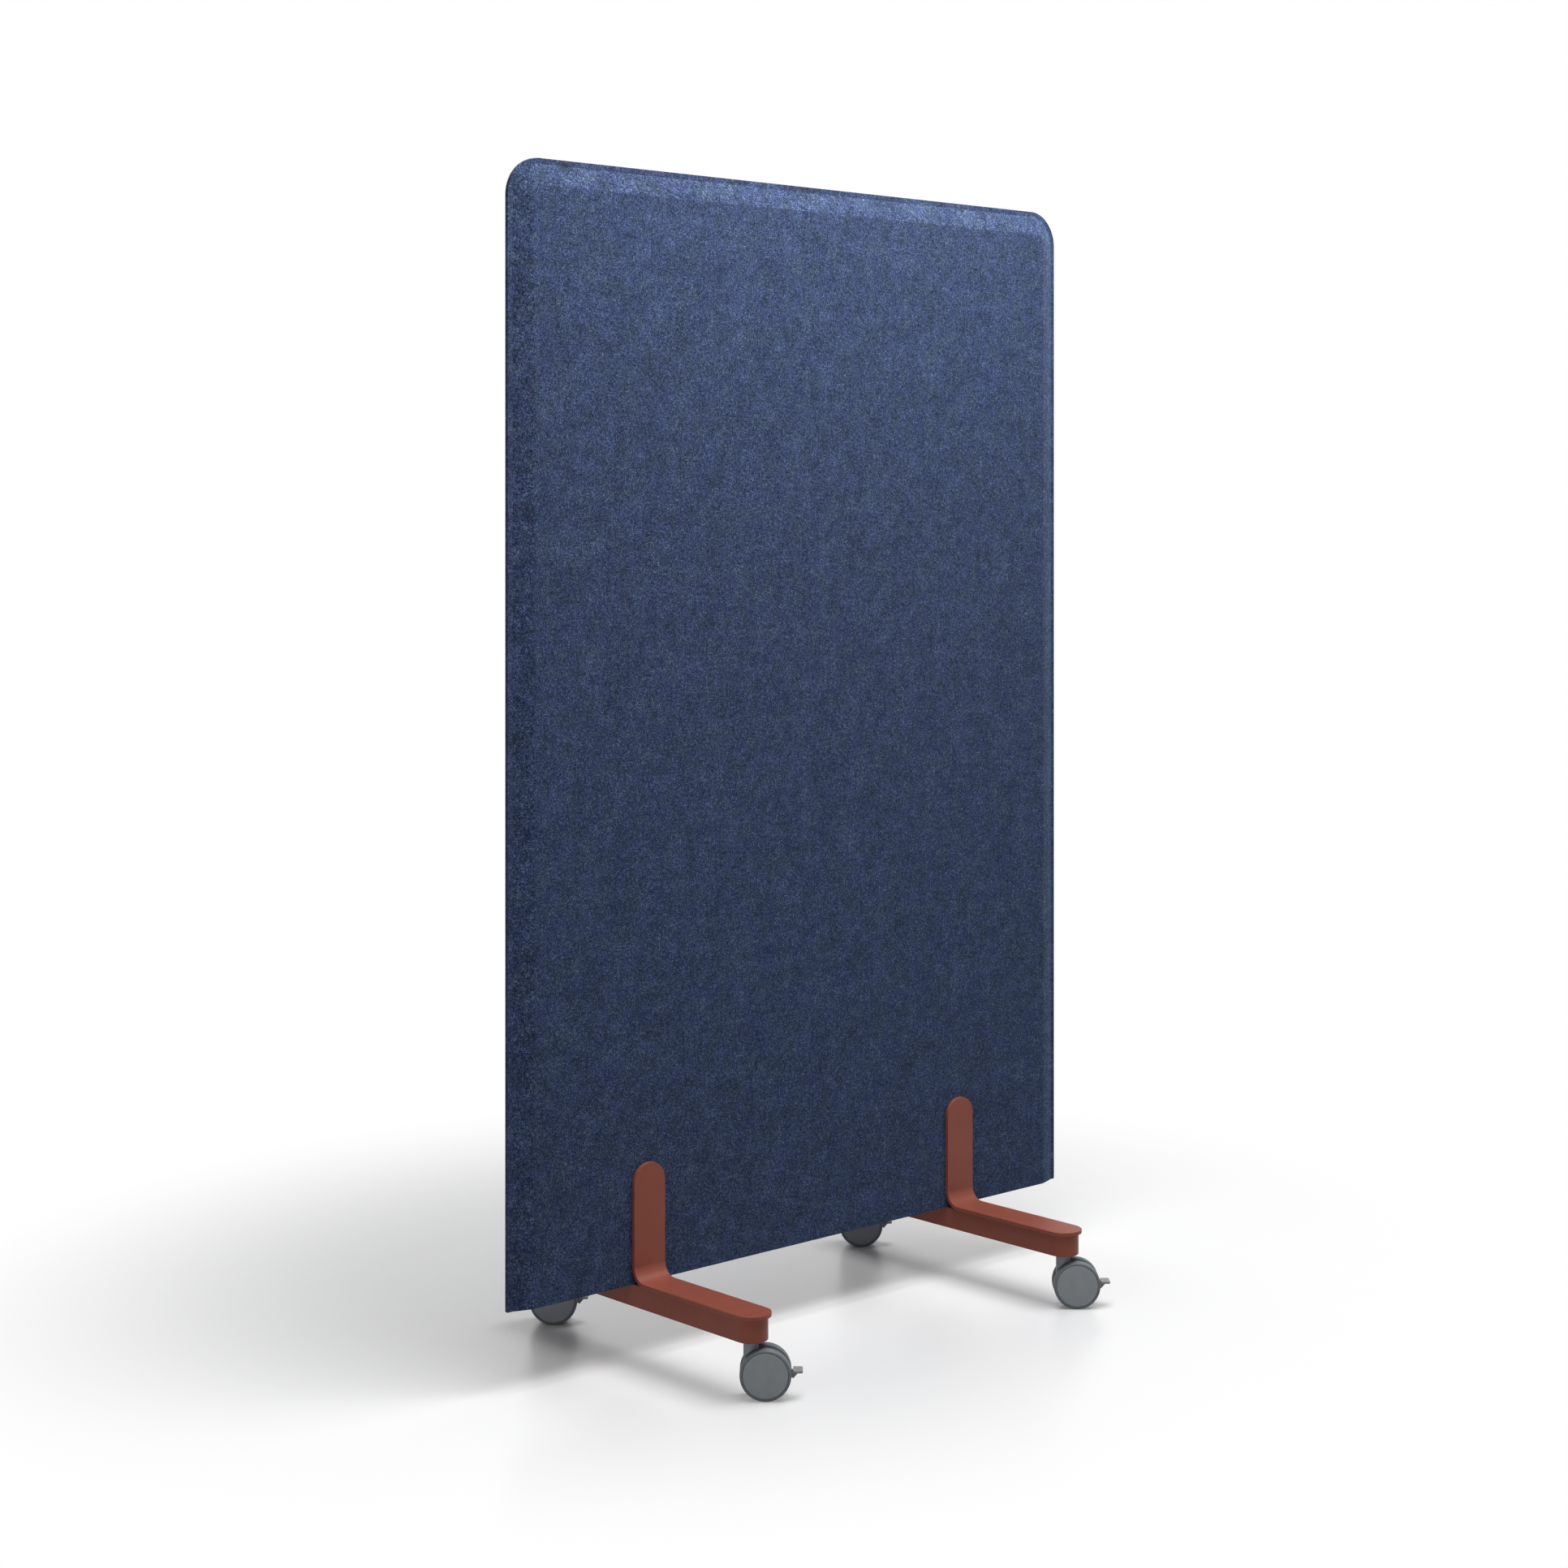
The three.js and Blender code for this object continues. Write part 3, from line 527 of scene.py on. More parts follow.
# %% [markdown]
# ## The castors
#
# All four castors are alike, so each piece is modelled once, with its swivel axis on Z and its
# trail along X, and then copied to the four corners. The body is a round neck that arches over
# both wheels and a web that runs down between them, with a boss for the axle and a slotted lug
# for the brake pedal. The web's outline is drawn from arcs.

# %% Draw the castor's web
WHEEL_RADIUS = 37.5 * MM
WHEEL_GAP = 13 * MM
WHEEL_WIDTH = 16 * MM
TURNING_GAP = 0.6 * MM
COLLAR_HEIGHT = 1.8 * MM
NECK_RADIUS = 11 * MM
NECK_TOP = BAR_FOOT - COLLAR_HEIGHT - TURNING_GAP
WEB_RADIUS = 33 * MM
WEB_THICKNESS = WHEEL_GAP - 2 * TURNING_GAP
AXLE_BOSS_RADIUS = 13 * MM
AXLE_PLACE = (TRAIL, AXLE_Z)
LUG_RADIUS = 6 * MM
PIVOT = (TRAIL + 23 * MM, AXLE_Z + 7 * MM)


def arc(centre, radius, start, end, steps, y):
    turns = [math.radians(start + (end - start) * step / steps) for step in range(steps + 1)]
    return [(centre[0] + radius * math.cos(angle), y, centre[1] + radius * math.sin(angle))
            for angle in turns]


front_of_neck = math.degrees(math.acos((-NECK_RADIUS - TRAIL) / WEB_RADIUS))
behind_neck = math.degrees(math.acos((NECK_RADIUS - TRAIL) / WEB_RADIUS))
web_side = -WEB_THICKNESS / 2
outline = [
    (-NECK_RADIUS, web_side, NECK_TOP - MM),
    *arc(AXLE_PLACE, WEB_RADIUS, front_of_neck, 198, 12, web_side),
    *arc(AXLE_PLACE, AXLE_BOSS_RADIUS, 234, 315, 14, web_side),
    *arc(PIVOT, LUG_RADIUS, 306, 378, 10, web_side),
    *arc(AXLE_PLACE, WEB_RADIUS, 36, behind_neck, 36, web_side),
    (NECK_RADIUS, web_side, NECK_TOP - MM),
]
web = slab("web", outline, (0, WEB_THICKNESS, 0))
round_edges(web, 0.9 * MM, angle=60, segments=3)
print("web corners", len(outline))

# %% [markdown]
# The neck starts as a plain rod. A disc a little larger than a wheel, taken away on either side,
# leaves the two arches. Then the web is joined in, and the bores for king pin, axle and pedal and
# the slot for the pedal's tongue are cut, each with the play that the moving piece needs.

# %% Arch the neck, join the web and cut the bores
ARCH_RADIUS = WHEEL_RADIUS + 1.5 * MM
ARCH_REACH = 30 * MM
KING_PIN_BORE = 4.3 * MM
KING_PIN_BORE_DEPTH = 27.1 * MM
AXLE_BORE = 4.3 * MM
TRUNNION_BORE = 2.3 * MM
BORE_REACH = 10 * MM
SLOT_WIDTH = 6 * MM
SLOT_SIZE = 30.2 * MM
SLOT_OFFSET = 10 * MM

body = rod("castor_body", NECK_RADIUS, (0, 0, AXLE_Z), (0, 0, NECK_TOP), 64)
round_edges(body, 0.9 * MM, 60, 3)
for side in (-1, 1):
    arch = rod("arch", ARCH_RADIUS, (TRAIL, side * WEB_THICKNESS / 2, AXLE_Z),
               (TRAIL, side * ARCH_REACH, AXLE_Z), 128)
    combine(body, arch, "DIFFERENCE")
combine(body, web, "UNION")
king_pin_bore = rod("bore", KING_PIN_BORE, (0, 0, BAR_FOOT - KING_PIN_BORE_DEPTH),
                    (0, 0, BAR_FOOT))
combine(body, king_pin_bore, "DIFFERENCE")
for (x, z), radius in ((AXLE_PLACE, AXLE_BORE), (PIVOT, TRUNNION_BORE)):
    combine(body, rod("bore", radius, (x, -BORE_REACH, z), (x, BORE_REACH, z)), "DIFFERENCE")
bpy.ops.object.select_all(action="DESELECT")
bpy.ops.mesh.primitive_cube_add(
    size=1, location=(PIVOT[0] + SLOT_OFFSET, 0, PIVOT[1] - SLOT_OFFSET))
combine(body, added("slot", (SLOT_SIZE, SLOT_WIDTH, SLOT_SIZE)), "DIFFERENCE")
smooth(body)

# %% [markdown]
# A wheel is two mouldings: a hard disc and a soft tread bonded round its rim. The disc is turned
# from a drawn section. It is slightly domed outside, so that light moves across it, and hollow
# inside, with a hub round the axle.

# %% Turn the wheel disc
RIM_RADIUS = 33 * MM
HUB_RADIUS = 7.5 * MM
DISC_WALL = 2.6 * MM
DISC_DISH = 0.8 * MM
DOME_STEPS = 8
inner = WHEEL_GAP / 2
face = inner + WHEEL_WIDTH
wall = face - DISC_DISH - DISC_WALL


def turned_on_axle(name, section, steps):
    profile = [(0, y, AXLE_Z + radius) for radius, y in section]
    return turn(name, profile, (0, 0, AXLE_Z), (0, 1, 0), steps)


shares = [1 - step / DOME_STEPS for step in range(DOME_STEPS + 1)]
dome = [(RIM_RADIUS * share, face - DISC_DISH * share ** 2) for share in shares]
disc = turned_on_axle("wheel_disc", [
    (0, wall), (AXLE_BORE, wall), (AXLE_BORE, inner), (HUB_RADIUS, inner), (HUB_RADIUS, wall),
    (RIM_RADIUS - DISC_WALL, wall), (RIM_RADIUS - DISC_WALL, inner), (RIM_RADIUS, inner), *dome,
], 96)
round_edges(disc, 0.7 * MM, 30, 3)
smooth(disc)

# %% [markdown]
# The tread's section starts and ends at its seat round the rim. Its outer shoulder is rounded
# broadly, which catches a crescent of light at the top, and the fine gap between disc and tread
# stays open.

# %% Turn the tread
SHOULDER = 3.6 * MM
SEAT_RADIUS = RIM_RADIUS + 0.3 * MM
INNER_EDGE = 2 * MM
INNER_CHAMFER = 0.6 * MM
turns = [math.radians(degrees) for degrees in range(0, 91, 10)]
rounding = [(WHEEL_RADIUS - SHOULDER * (1 - math.cos(angle)),
             face - DISC_DISH - SHOULDER * (1 - math.sin(angle))) for angle in turns]
tread = turned_on_axle("wheel_tread", [
    (SEAT_RADIUS, inner), (WHEEL_RADIUS - INNER_EDGE, inner),
    (WHEEL_RADIUS - INNER_CHAMFER, inner + INNER_CHAMFER), (WHEEL_RADIUS, inner + INNER_EDGE),
    *rounding, (SEAT_RADIUS, face - DISC_DISH), (SEAT_RADIUS, inner),
], 96)
round_edges(tread, 0.25 * MM, 50, 2)
smooth(tread)

# %% [markdown]
# The stem with its collar and king pin, and the axle, are plain turned steel with chamfered ends.

# %% Turn the stem and the axle
KING_PIN_RADIUS = 4 * MM
KING_PIN_LENGTH = 25 * MM
KING_PIN_CHAMFER = 0.6 * MM
COLLAR_RADIUS = 9 * MM
STEM_LENGTH = 26 * MM
AXLE_RADIUS = 4 * MM
END_CHAMFER = 0.8 * MM
END_GAP = 0.3 * MM

collar_foot = BAR_FOOT - COLLAR_HEIGHT
pin_foot = collar_foot - KING_PIN_LENGTH
stem_top = BAR_FOOT + STEM_LENGTH
stem = turn("stem", [(radius, 0, z) for radius, z in (
    (0, pin_foot), (KING_PIN_RADIUS - KING_PIN_CHAMFER, pin_foot),
    (KING_PIN_RADIUS, pin_foot + KING_PIN_CHAMFER), (KING_PIN_RADIUS, collar_foot),
    (COLLAR_RADIUS, collar_foot), (COLLAR_RADIUS, BAR_FOOT), (STEM_RADIUS, BAR_FOOT),
    (STEM_RADIUS, stem_top - END_CHAMFER), (STEM_RADIUS - END_CHAMFER, stem_top), (0, stem_top),
)], (0, 0, 0), (0, 0, 1), 48)
smooth(stem)

axle_end = wall - END_GAP
axle = turned_on_axle("axle", [
    (0, -axle_end), (AXLE_RADIUS - END_CHAMFER, -axle_end), (AXLE_RADIUS, END_CHAMFER - axle_end),
    (AXLE_RADIUS, axle_end - END_CHAMFER), (AXLE_RADIUS - END_CHAMFER, axle_end), (0, axle_end),
], 48)
smooth(axle)

# %% [markdown]
# The brake pedal is one moulding: a toe plate with rounded tips, a gusset that carries it, and a
# tongue that turns between the web's cheeks. The plate is drawn from above and the tongue with
# its gusset from the side, and a boolean makes them one.

# %% Mould the pedal's plate and tongue
PEDAL_TOP = 42 * MM
PEDAL_THICKNESS = 3.4 * MM
PEDAL_HALF_WIDTH = 12 * MM
PEDAL_LENGTH = 14 * MM
TIP_RADIUS = 3 * MM
TIP_STEPS = 8
TONGUE_RADIUS = 4.5 * MM
TONGUE_THICKNESS = 5.4 * MM
GUSSET_LENGTH = 9 * MM
GUSSET_HEIGHT = 10 * MM
toe = TRAIL + 54 * MM
heel = toe - PEDAL_LENGTH
under = PEDAL_TOP - PEDAL_THICKNESS

tip_y = PEDAL_HALF_WIDTH - TIP_RADIUS
plate_outline = [(heel, -PEDAL_HALF_WIDTH, under)]
for y, start in ((-tip_y, 270), (tip_y, 0)):
    for step in range(TIP_STEPS + 1):
        angle = math.radians(start + step * 90 / TIP_STEPS)
        plate_outline.append((toe - TIP_RADIUS + TIP_RADIUS * math.cos(angle),
                              y + TIP_RADIUS * math.sin(angle), under))
plate_outline.append((heel, PEDAL_HALF_WIDTH, under))
pedal = slab("pedal", plate_outline, (0, 0, PEDAL_THICKNESS))
round_edges(pedal, 0.5 * MM, 50, 2)

tongue_side = -TONGUE_THICKNESS / 2
tongue = slab("tongue", [
    *arc(PIVOT, TONGUE_RADIUS, 72, 288, 16, tongue_side),
    (heel, tongue_side, under - GUSSET_HEIGHT),
    (heel + GUSSET_LENGTH, tongue_side, under),
    (heel + GUSSET_LENGTH, tongue_side, PEDAL_TOP - MM),
    (heel, tongue_side, PEDAL_TOP - MM),
], (0, TONGUE_THICKNESS, 0))
combine(pedal, round_edges(tongue, 0.4 * MM, 50, 2), "UNION")
print("pedal reaches", round(toe - TRAIL, 4), "m past the axle")

# %% [markdown]
# Two trunnions carry the tongue in the web, and four low ribs across the plate give a shoe its
# grip.

# %% Add the trunnions and the grip
TRUNNION_RADIUS = 2 * MM
GRIP_RADIUS = 0.55 * MM
GRIP_REACH = 8.5 * MM
FIRST_GRIP = 3 * MM
GRIP_PITCH = 2.6 * MM
GRIPS = 4
trunnion_reach = WEB_THICKNESS / 2 - END_GAP
combine(pedal, rod("trunnions", TRUNNION_RADIUS, (PIVOT[0], -trunnion_reach, PIVOT[1]),
                   (PIVOT[0], trunnion_reach, PIVOT[1]), 32), "UNION")
for k in range(GRIPS):
    x = heel + FIRST_GRIP + GRIP_PITCH * k
    grip = rod("grip", GRIP_RADIUS, (x, -GRIP_REACH, PEDAL_TOP), (x, GRIP_REACH, PEDAL_TOP), 16)
    combine(pedal, round_edges(grip, 0.3 * MM, 60, 2), "UNION")
smooth(pedal)

# %% [markdown]
# Every castor is a set of copies, turned by the castors' common angle and moved either to the
# swivel's place or to the hub's. The outer wheel is the inner one turned half round.

# %% Set out the four castors
masters = (body, disc, tread, stem, axle, pedal)
for name, place in CASTORS.items():
    hub = joints[name + "_wheel_1_spin"]
    swivel_place, hub_place = (place.x, place.y, 0), (hub.x, hub.y, 0)
    hand_over(copy_of(stem, name + "_turned_stem", CASTOR_TURN, swivel_place),
              "partition", "zinc", name + "_stem")
    hand_over(copy_of(body, name + "_moulded_body", CASTOR_TURN, swivel_place),
              name + "_swivel", "castor_plastic", name + "_body")
    hand_over(copy_of(axle, name + "_turned_axle", CASTOR_TURN, hub_place),
              name + "_swivel", "zinc", name + "_axle")
    hand_over(copy_of(pedal, name + "_brake_pedal", CASTOR_TURN, swivel_place),
              name + "_pedal", "pedal_plastic", name + "_pedal")
    for number, turned in ((1, CASTOR_TURN + math.pi), (2, CASTOR_TURN)):
        wheel = f"{name}_wheel_{number}"
        hand_over(copy_of(disc, wheel + "_disc", turned, hub_place),
                  wheel, "castor_plastic", wheel)
        hand_over(copy_of(tread, wheel + "_tread", turned, hub_place),
                  wheel, "tread", f"{name}_tyre_{number}")
for master in masters:
    bpy.data.objects.remove(master)
print("castors", len(CASTORS))

# %% [markdown]
# ## Finishes
#
# Every finish is made of nodes that read the piece's own coordinates in metres, so a fleck of one
# millimetre is asked for as one millimetre. A few short helpers keep the recipes readable. Three
# start a material, add a node and feed the shader. The others stand for what most finishes need:
# noise of a given size, a stretched range, a mix of two colours, a sum or a product, and a bump.

# %% Helpers for finishes
def new_finish(name, values):
    finish = bpy.data.materials.new(name)
    finish.use_nodes = True
    shader = finish.node_tree.nodes["Principled BSDF"]
    for socket, value in values.items():
        shader.inputs[socket].default_value = value
    return finish


def add_node(finish, kind, values=(), **settings):
    made = finish.node_tree.nodes.new("ShaderNode" + kind)
    for name, value in settings.items():
        setattr(made, name, value)
    for socket, value in dict(values).items():
        if isinstance(value, bpy.types.NodeSocket):
            finish.node_tree.links.new(value, made.inputs[socket])
        else:
            made.inputs[socket].default_value = value
    return made


def feed(finish, socket, value):
    shader = finish.node_tree.nodes["Principled BSDF"]
    finish.node_tree.links.new(value, shader.inputs[socket])


def noise(finish, size, detail=2.0, turned=(0, 0, 0)):
    """Noise with patches of the given size in metres along the three axes of the turned piece."""
    place = add_node(finish, "TexCoord").outputs["Object"]
    fitted = add_node(finish, "Mapping", {"Vector": place, "Rotation": turned, "Scale": size},
                      vector_type="TEXTURE").outputs["Vector"]
    return add_node(finish, "TexNoise", {"Vector": fitted, "Scale": 1.0, "Detail": detail,
                                         "Roughness": 0.55}).outputs["Fac"]


def spread(finish, value, low, high, to_low=0.0, to_high=1.0):
    """Stretch the part of a value between low and high to the range asked for."""
    return add_node(finish, "MapRange", {"Value": value, "From Min": low, "From Max": high,
                                         "To Min": to_low, "To Max": to_high}).outputs["Result"]


def mixed(finish, share, one, other):
    made = add_node(finish, "Mix", data_type="RGBA")
    for socket, value in ((0, share), (6, one), (7, other)):
        if isinstance(value, bpy.types.NodeSocket):
            finish.node_tree.links.new(value, made.inputs[socket])
        else:
            made.inputs[socket].default_value = value if socket == 0 else (*value, 1)
    return made.outputs[2]


def math_of(finish, operation, one, other):
    made = add_node(finish, "Math", operation=operation)
    for socket, value in ((0, one), (1, other)):
        if isinstance(value, bpy.types.NodeSocket):
            finish.node_tree.links.new(value, made.inputs[socket])
        else:
            made.inputs[socket].default_value = value
    return made.outputs["Value"]


def raise_bumps(finish, *layers):
    normal = None
    for height, depth in layers:
        values = {"Height": height, "Distance": depth, "Strength": 1.0}
        if normal:
            values["Normal"] = normal
        normal = add_node(finish, "Bump", values).outputs["Normal"]
    feed(finish, "Normal", normal)


def cube(size):
    return (size, size, size)


print("finish helpers ready")

# %% [markdown]
# Felt of this kind is a melange: fibres of navy, mid blue and a pale grey blue, laid in every
# direction and pressed flat. Its lightness wanders at every scale, from the single fibre to
# clouds as wide as a hand, so one noise would look either sandy or smoky. Here three layers of
# stretched noise, each turned another way in the panel's plane, stand for the fibres, and four
# rounder ones, from two millimetres up to sixty, for tufts, flocks, clouds and drifts. Their sum
# picks a tone on one ramp, and another slow noise leans it towards grey or violet. A little sheen
# lightens the fuzz at a grazing angle. The flocks, tufts and fibres also raise the bumps.

# %% Mix the felt
felt = new_finish("pressed_blue_felt", {
    "Roughness": 0.95, "Specular IOR Level": 0.15,
    "Sheen Weight": 0.3, "Sheen Roughness": 0.4, "Sheen Tint": (0.45, 0.68, 1.0, 1),
})
fibres = [
    noise(felt, (1.0 * MM, 1.0 * MM, 5 * MM), 1.0, (0, math.radians(angle), 0))
    for angle in (12, 71, 132)
]
pale_fibres = math_of(felt, "MAXIMUM", math_of(felt, "MAXIMUM", fibres[0], fibres[1]), fibres[2])
tufts = noise(felt, cube(2.2 * MM), 1.0)
flocks = noise(felt, cube(6 * MM), 2.0)
clouds = noise(felt, cube(20 * MM), 2.0)
drifts = noise(felt, cube(60 * MM), 2.0)
lightness = math_of(felt, "MULTIPLY", pale_fibres, 0.42)
for layer, share in ((tufts, 0.46), (flocks, 0.22), (clouds, 0.14), (drifts, 0.08)):
    lightness = math_of(felt, "ADD", lightness, math_of(felt, "MULTIPLY", layer, share))
tones = add_node(felt, "ValToRGB", {"Fac": lightness})
ramp = tones.color_ramp
ramp.elements[0].position, ramp.elements[0].color = 0.575, (0.010, 0.014, 0.031, 1)
ramp.elements[1].position, ramp.elements[1].color = 0.85, (0.160, 0.215, 0.345, 1)
ramp.elements.new(0.672).color = (0.029, 0.044, 0.094, 1)
ramp.elements.new(0.745).color = (0.059, 0.090, 0.180, 1)
hues = noise(felt, cube(28 * MM), 2.0, (0.3, 0.2, 0.5))
tint = mixed(felt, spread(felt, hues, 0.38, 0.62), (1.00, 1.00, 0.93), (1.00, 0.98, 1.10))
dyed = add_node(felt, "VectorMath", {0: tones.outputs["Color"], 1: tint}, operation="MULTIPLY")
feed(felt, "Base Color", dyed.outputs["Vector"])
raise_bumps(felt, (flocks, 0.5 * MM), (tufts, 0.45 * MM), (pale_fibres, 0.26 * MM))
print("felt made with", len(felt.node_tree.nodes), "nodes")

# %% [markdown]
# The plates and bars are powder coated in one terracotta. Powder flows a little before it cures,
# which leaves a fine orange peel of about a millimetre, and the tone drifts almost unseen over a
# hand's width.

# %% Spray the powder coat
coated = new_finish("terracotta_powder_coat", {"IOR": 1.5, "Specular IOR Level": 0.3})
peel = noise(coated, cube(1.1 * MM), 2.0)
drift = noise(coated, cube(60 * MM), 2.0)
grit = noise(coated, cube(0.35 * MM), 1.0)
tone = mixed(coated, spread(coated, drift, 0.3, 0.7), (0.272, 0.070, 0.042), (0.298, 0.079, 0.049))
feed(coated, "Base Color", mixed(coated, spread(coated, grit, 0.62, 0.78, 0, 0.25), tone,
                                 (0.36, 0.12, 0.085)))
feed(coated, "Roughness", spread(coated, peel, 0.25, 0.75, 0.40, 0.52))
raise_bumps(coated, (peel, 0.05 * MM), (grit, 0.012 * MM))
print("powder coat made")

# %% [markdown]
# The castors are moulded in slate-coloured polyamide with a fine spark-eroded surface. The treads
# are a softer polyurethane of nearly the same slate, a little more matt, with faint scuffs. The
# pedals are a light grey moulding, ribbed for grip.

# %% Mould the plastics
def moulded(name, dark, light, rough, grain):
    plastic = new_finish(name, {"IOR": 1.5, "Specular IOR Level": 0.4})
    erosion = noise(plastic, cube(grain), 2.0)
    flow = noise(plastic, cube(14 * MM), 3.0)
    feed(plastic, "Base Color", mixed(plastic, spread(plastic, flow, 0.3, 0.7), dark, light))
    feed(plastic, "Roughness", spread(plastic, erosion, 0.3, 0.7, rough - 0.05, rough + 0.07))
    raise_bumps(plastic, (erosion, 0.03 * MM))
    return plastic


castor_plastic = moulded("slate_polyamide", (0.305, 0.334, 0.358), (0.335, 0.364, 0.388),
                         0.44, 0.45 * MM)
pedal_plastic = moulded("grey_pedal_moulding", (0.285, 0.300, 0.313), (0.318, 0.333, 0.345),
                        0.46, 0.5 * MM)
tread_rubber = new_finish("slate_polyurethane", {"IOR": 1.48, "Specular IOR Level": 0.36})
scuffs = noise(tread_rubber, (6 * MM, 6 * MM, 1.4 * MM), 4.0)
skin = noise(tread_rubber, cube(0.7 * MM), 2.0)
feed(tread_rubber, "Base Color", mixed(
    tread_rubber, spread(tread_rubber, scuffs, 0.58, 0.75, 0, 0.5),
    (0.170, 0.190, 0.205), (0.250, 0.266, 0.278)))
feed(tread_rubber, "Roughness", spread(tread_rubber, scuffs, 0.35, 0.7, 0.46, 0.62))
raise_bumps(tread_rubber, (skin, 0.03 * MM))
print("plastics made")

# %% [markdown]
# Stems, axles and nuts are steel with a clear zinc plating: bright, with a faint bluish spangle
# and fine marks from the lathe, which run round and so change fastest along the piece.

# %% Plate the steel
zinc = new_finish("zinc_plated_steel", {"Metallic": 1.0})
lathe = noise(zinc, (4 * MM, 4 * MM, 0.25 * MM), 1.0)
spangle = noise(zinc, cube(3 * MM), 3.0)
feed(zinc, "Base Color", mixed(zinc, spread(zinc, spangle, 0.35, 0.65),
                               (0.56, 0.57, 0.58), (0.70, 0.70, 0.67)))
feed(zinc, "Roughness", spread(zinc, spangle, 0.3, 0.7, 0.26, 0.40))
raise_bumps(zinc, (lathe, 0.02 * MM))
print("zinc made")

# %% [markdown]
# ## What is inside
#
# The frame's stiles and rails are spruce and the core is a board of pressed fibre. Their packed
# nodes have the right shape and stay, hidden by the felt, so they only get a finish. The grain
# runs along each member: noise stretched lengthwise bends the year rings, which a wave draws.

# %% Plane the spruce and press the core
def spruce(name, along, across):
    timber = new_finish(name, {"IOR": 1.45, "Specular IOR Level": 0.3})
    growth = noise(timber, along, 2.0)
    place = add_node(timber, "TexCoord").outputs["Object"]
    bend = add_node(timber, "CombineXYZ", {across: spread(timber, growth, 0, 1, 0, 14 * MM)})
    shifted = add_node(timber, "VectorMath", {0: place, 1: bend.outputs["Vector"]},
                       operation="ADD")
    rings = add_node(timber, "TexWave", {"Vector": shifted.outputs["Vector"], "Scale": 42.0,
                                         "Distortion": 1.5, "Detail": 2.0},
                     bands_direction=across, wave_profile="SAW").outputs["Fac"]
    pores = noise(timber, [0.1 * size for size in along], 3.0)
    pale = mixed(timber, spread(timber, rings, 0.35, 1.0), (0.66, 0.47, 0.27), (0.44, 0.26, 0.12))
    feed(timber, "Base Color", mixed(timber, spread(timber, pores, 0.5, 0.75, 0, 0.4), pale,
                                     (0.50, 0.32, 0.16)))
    feed(timber, "Roughness", spread(timber, rings, 0, 1, 0.58, 0.46))
    raise_bumps(timber, (rings, 0.06 * MM), (pores, 0.04 * MM))
    return timber


upright_spruce = spruce("spruce_grain_upright", (6 * MM, 6 * MM, 240 * MM), "X")
level_spruce = spruce("spruce_grain_level", (240 * MM, 6 * MM, 6 * MM), "Z")

core = new_finish("pressed_fibre_core", {"Roughness": 0.97, "Specular IOR Level": 0.15,
                                         "Sheen Weight": 0.25, "Sheen Roughness": 0.5})
strands = [noise(core, (1.1 * MM, 1.1 * MM, 9 * MM), 1.0, (0, math.radians(angle), 0))
           for angle in (25, 95, 150)]
matted = math_of(core, "MAXIMUM", math_of(core, "MAXIMUM", strands[0], strands[1]), strands[2])
lumps = noise(core, cube(15 * MM), 3.0)
feed(core, "Base Color", mixed(core, spread(core, matted, 0.5, 0.75),
                               (0.42, 0.40, 0.36), (0.74, 0.72, 0.67)))
raise_bumps(core, (lumps, 0.5 * MM), (matted, 0.4 * MM))
print("inner finishes made")

# %% [markdown]
# Each finish goes to the pieces of its slot, and to the imported nodes too, also the hidden ones,
# so that every node carries the finish of what it stands for.

# %% Give every piece its finish
FINISHES = {
    "felt": felt, "painted_metal": coated, "castor_plastic": castor_plastic,
    "tread": tread_rubber, "pedal_plastic": pedal_plastic, "zinc": zinc,
    "core": core, "timber": upright_spruce,
}


def give(piece, finish):
    if not piece.data.materials:
        piece.data.materials.append(finish)
    for slot in piece.material_slots:
        slot.material = finish


node_slots = {part["node"]: part["material_slot"] for part in frame["record"]["subparts"]}


def slot_of(piece):
    if "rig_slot" in piece:
        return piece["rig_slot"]
    return node_slots[piece["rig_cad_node"]]


dressed = [piece for piece in bpy.context.scene.objects if piece.type == "MESH"]
for piece in dressed:
    give(piece, FINISHES[slot_of(piece)])
for rail in ("top_rail", "bottom_rail"):
    give(frame["nodes"][rail], level_spruce)
print("dressed", len(dressed), "pieces and nodes")

# %% [markdown]
# ## The studio
#
# The floor is pale and slightly glossy, so that the castors leave a soft reflection and a shadow.
# Away from the object it fades to plain white for the camera and for reflections, which makes
# floor and background one. For the light that it throws back at the object it is a darker grey,
# or the undersides would be too bright.

# %% Lay the floor
FLOOR_SIZE = 30
FADE_MIDDLE = (0.1, 0.35, 0)
FADE_SQUEEZE = (0.8, 0.9, 1)
FADE_START = 0.42
FADE_END = 1.15

bpy.ops.object.select_all(action="DESELECT")
bpy.ops.mesh.primitive_plane_add(size=FLOOR_SIZE, location=(0, 0, 0))
floor = bpy.context.active_object
floor.name = "studio_floor"


def looked_at(owner):
    """One for the rays that show a surface directly or in a reflection, none for the others."""
    rays = add_node(owner, "LightPath").outputs
    shown = math_of(owner, "MAXIMUM", rays["Is Camera Ray"], rays["Is Glossy Ray"])
    return math_of(owner, "MAXIMUM", shown, rays["Is Transmission Ray"])


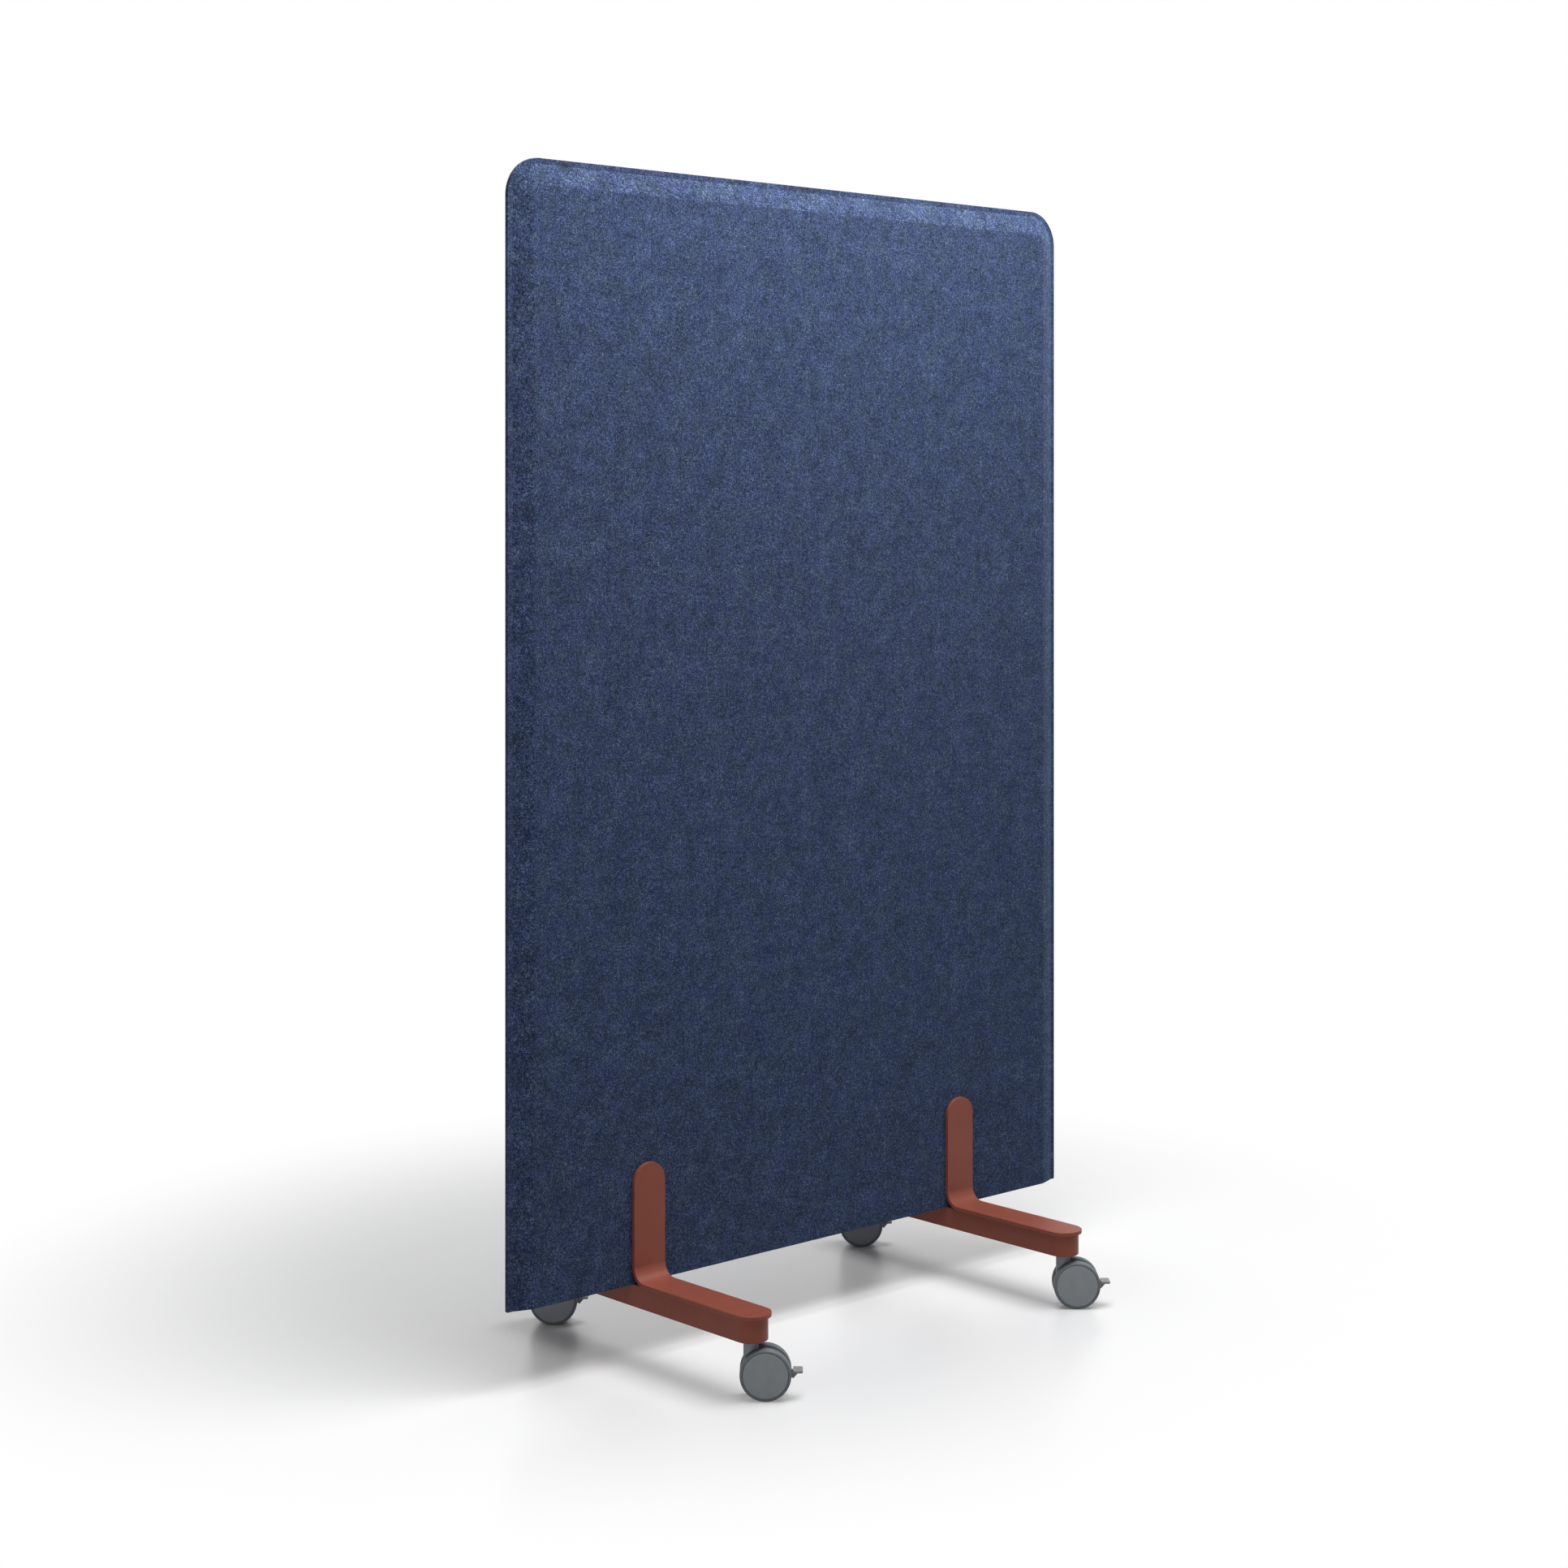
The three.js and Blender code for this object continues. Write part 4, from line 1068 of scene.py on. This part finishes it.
paving = new_finish("pale_floor", {"Roughness": 0.28, "Specular IOR Level": 0.45})
in_view = looked_at(paving)
feed(paving, "Base Color", mixed(paving, in_view, (0.32, 0.32, 0.32), (0.97, 0.97, 0.97)))
where = add_node(paving, "TexCoord").outputs["Object"]
off_middle = add_node(paving, "VectorMath", {0: where, 1: FADE_MIDDLE}, operation="SUBTRACT")
squeezed = add_node(paving, "VectorMath", {0: off_middle.outputs["Vector"], 1: FADE_SQUEEZE},
                    operation="MULTIPLY")
distance = add_node(paving, "VectorMath", {0: squeezed.outputs["Vector"]}, operation="LENGTH")
fade = add_node(paving, "MapRange", {"Value": distance.outputs["Value"], "From Min": FADE_START,
                                     "From Max": FADE_END}, interpolation_type="SMOOTHSTEP")
white = add_node(paving, "Emission", {"Color": (1, 1, 1, 1), "Strength": 1.0})
blend = add_node(paving, "MixShader", {
    0: math_of(paving, "MULTIPLY", fade.outputs["Result"], in_view),
    1: paving.node_tree.nodes["Principled BSDF"].outputs["BSDF"],
    2: white.outputs["Emission"]})
paving.node_tree.links.new(blend.outputs["Shader"],
                           paving.node_tree.nodes["Material Output"].inputs["Surface"])
floor.data.materials.append(paving)
print("floor laid")

# %% [markdown]
# The world is plain white where it is looked at and only a weak, slightly cool light for the
# rest, which keeps the shadows open.

# %% Hang the white backdrop
world = bpy.data.worlds.new("studio")
bpy.context.scene.world = world
world.use_nodes = True
world.node_tree.nodes.clear()
ambient = add_node(world, "Background", {"Color": (0.97, 0.98, 1.0, 1), "Strength": 0.12})
backdrop = add_node(world, "Background", {"Color": (1, 1, 1, 1)})
choice = add_node(world, "MixShader", {
    0: looked_at(world),
    1: ambient.outputs["Background"],
    2: backdrop.outputs["Background"]})
add_node(world, "OutputWorld", {"Surface": choice.outputs["Shader"]})
print("backdrop hung")

# %% [markdown]
# The light comes from large soft lamps. The main one hangs over the panel's right half and a broad
# one farther in front. A small one lifts the felt's upper left, and one low on the left draws the
# bars' sides. Two weaker ones behind show the back when it is looked at.

# %% Light the studio
def soft_light(name, place, aim, size, power):
    lamp = bpy.data.lights.new(name, "AREA")
    lamp.shape = "RECTANGLE"
    lamp.size, lamp.size_y = size
    lamp.energy = power
    holder = bpy.data.objects.new(name, lamp)
    bpy.context.scene.collection.objects.link(holder)
    holder.location = place
    holder.rotation_euler = (Vector(aim) - Vector(place)).to_track_quat("-Z", "Y").to_euler()


soft_light("overhead", (0.5, -0.28, 2.7), (0.3, -0.2, 0.4), (1.4, 1.2), 37)
soft_light("overhead_left", (-0.35, -0.25, 2.5), (-0.35, -0.15, 1.0), (0.9, 0.4), 7)
soft_light("overhead_front", (0.0, -1.0, 2.6), (0.0, -0.2, 0.0), (3.0, 0.8), 26)
soft_light("from_the_left", (-2.8, -0.8, 1.2), (-0.2, -0.1, 0.6), (1.2, 1.2), 7)
soft_light("overhead_rear", (0.3, 0.7, 2.9), (0.1, 0.1, 0.0), (2.4, 1.2), 4)
soft_light("from_behind", (0.4, 2.2, 1.7), (0.0, 0.0, 0.9), (1.6, 1.2), 9)
bpy.context.scene.view_settings.view_transform = "Standard"
print("studio lit")
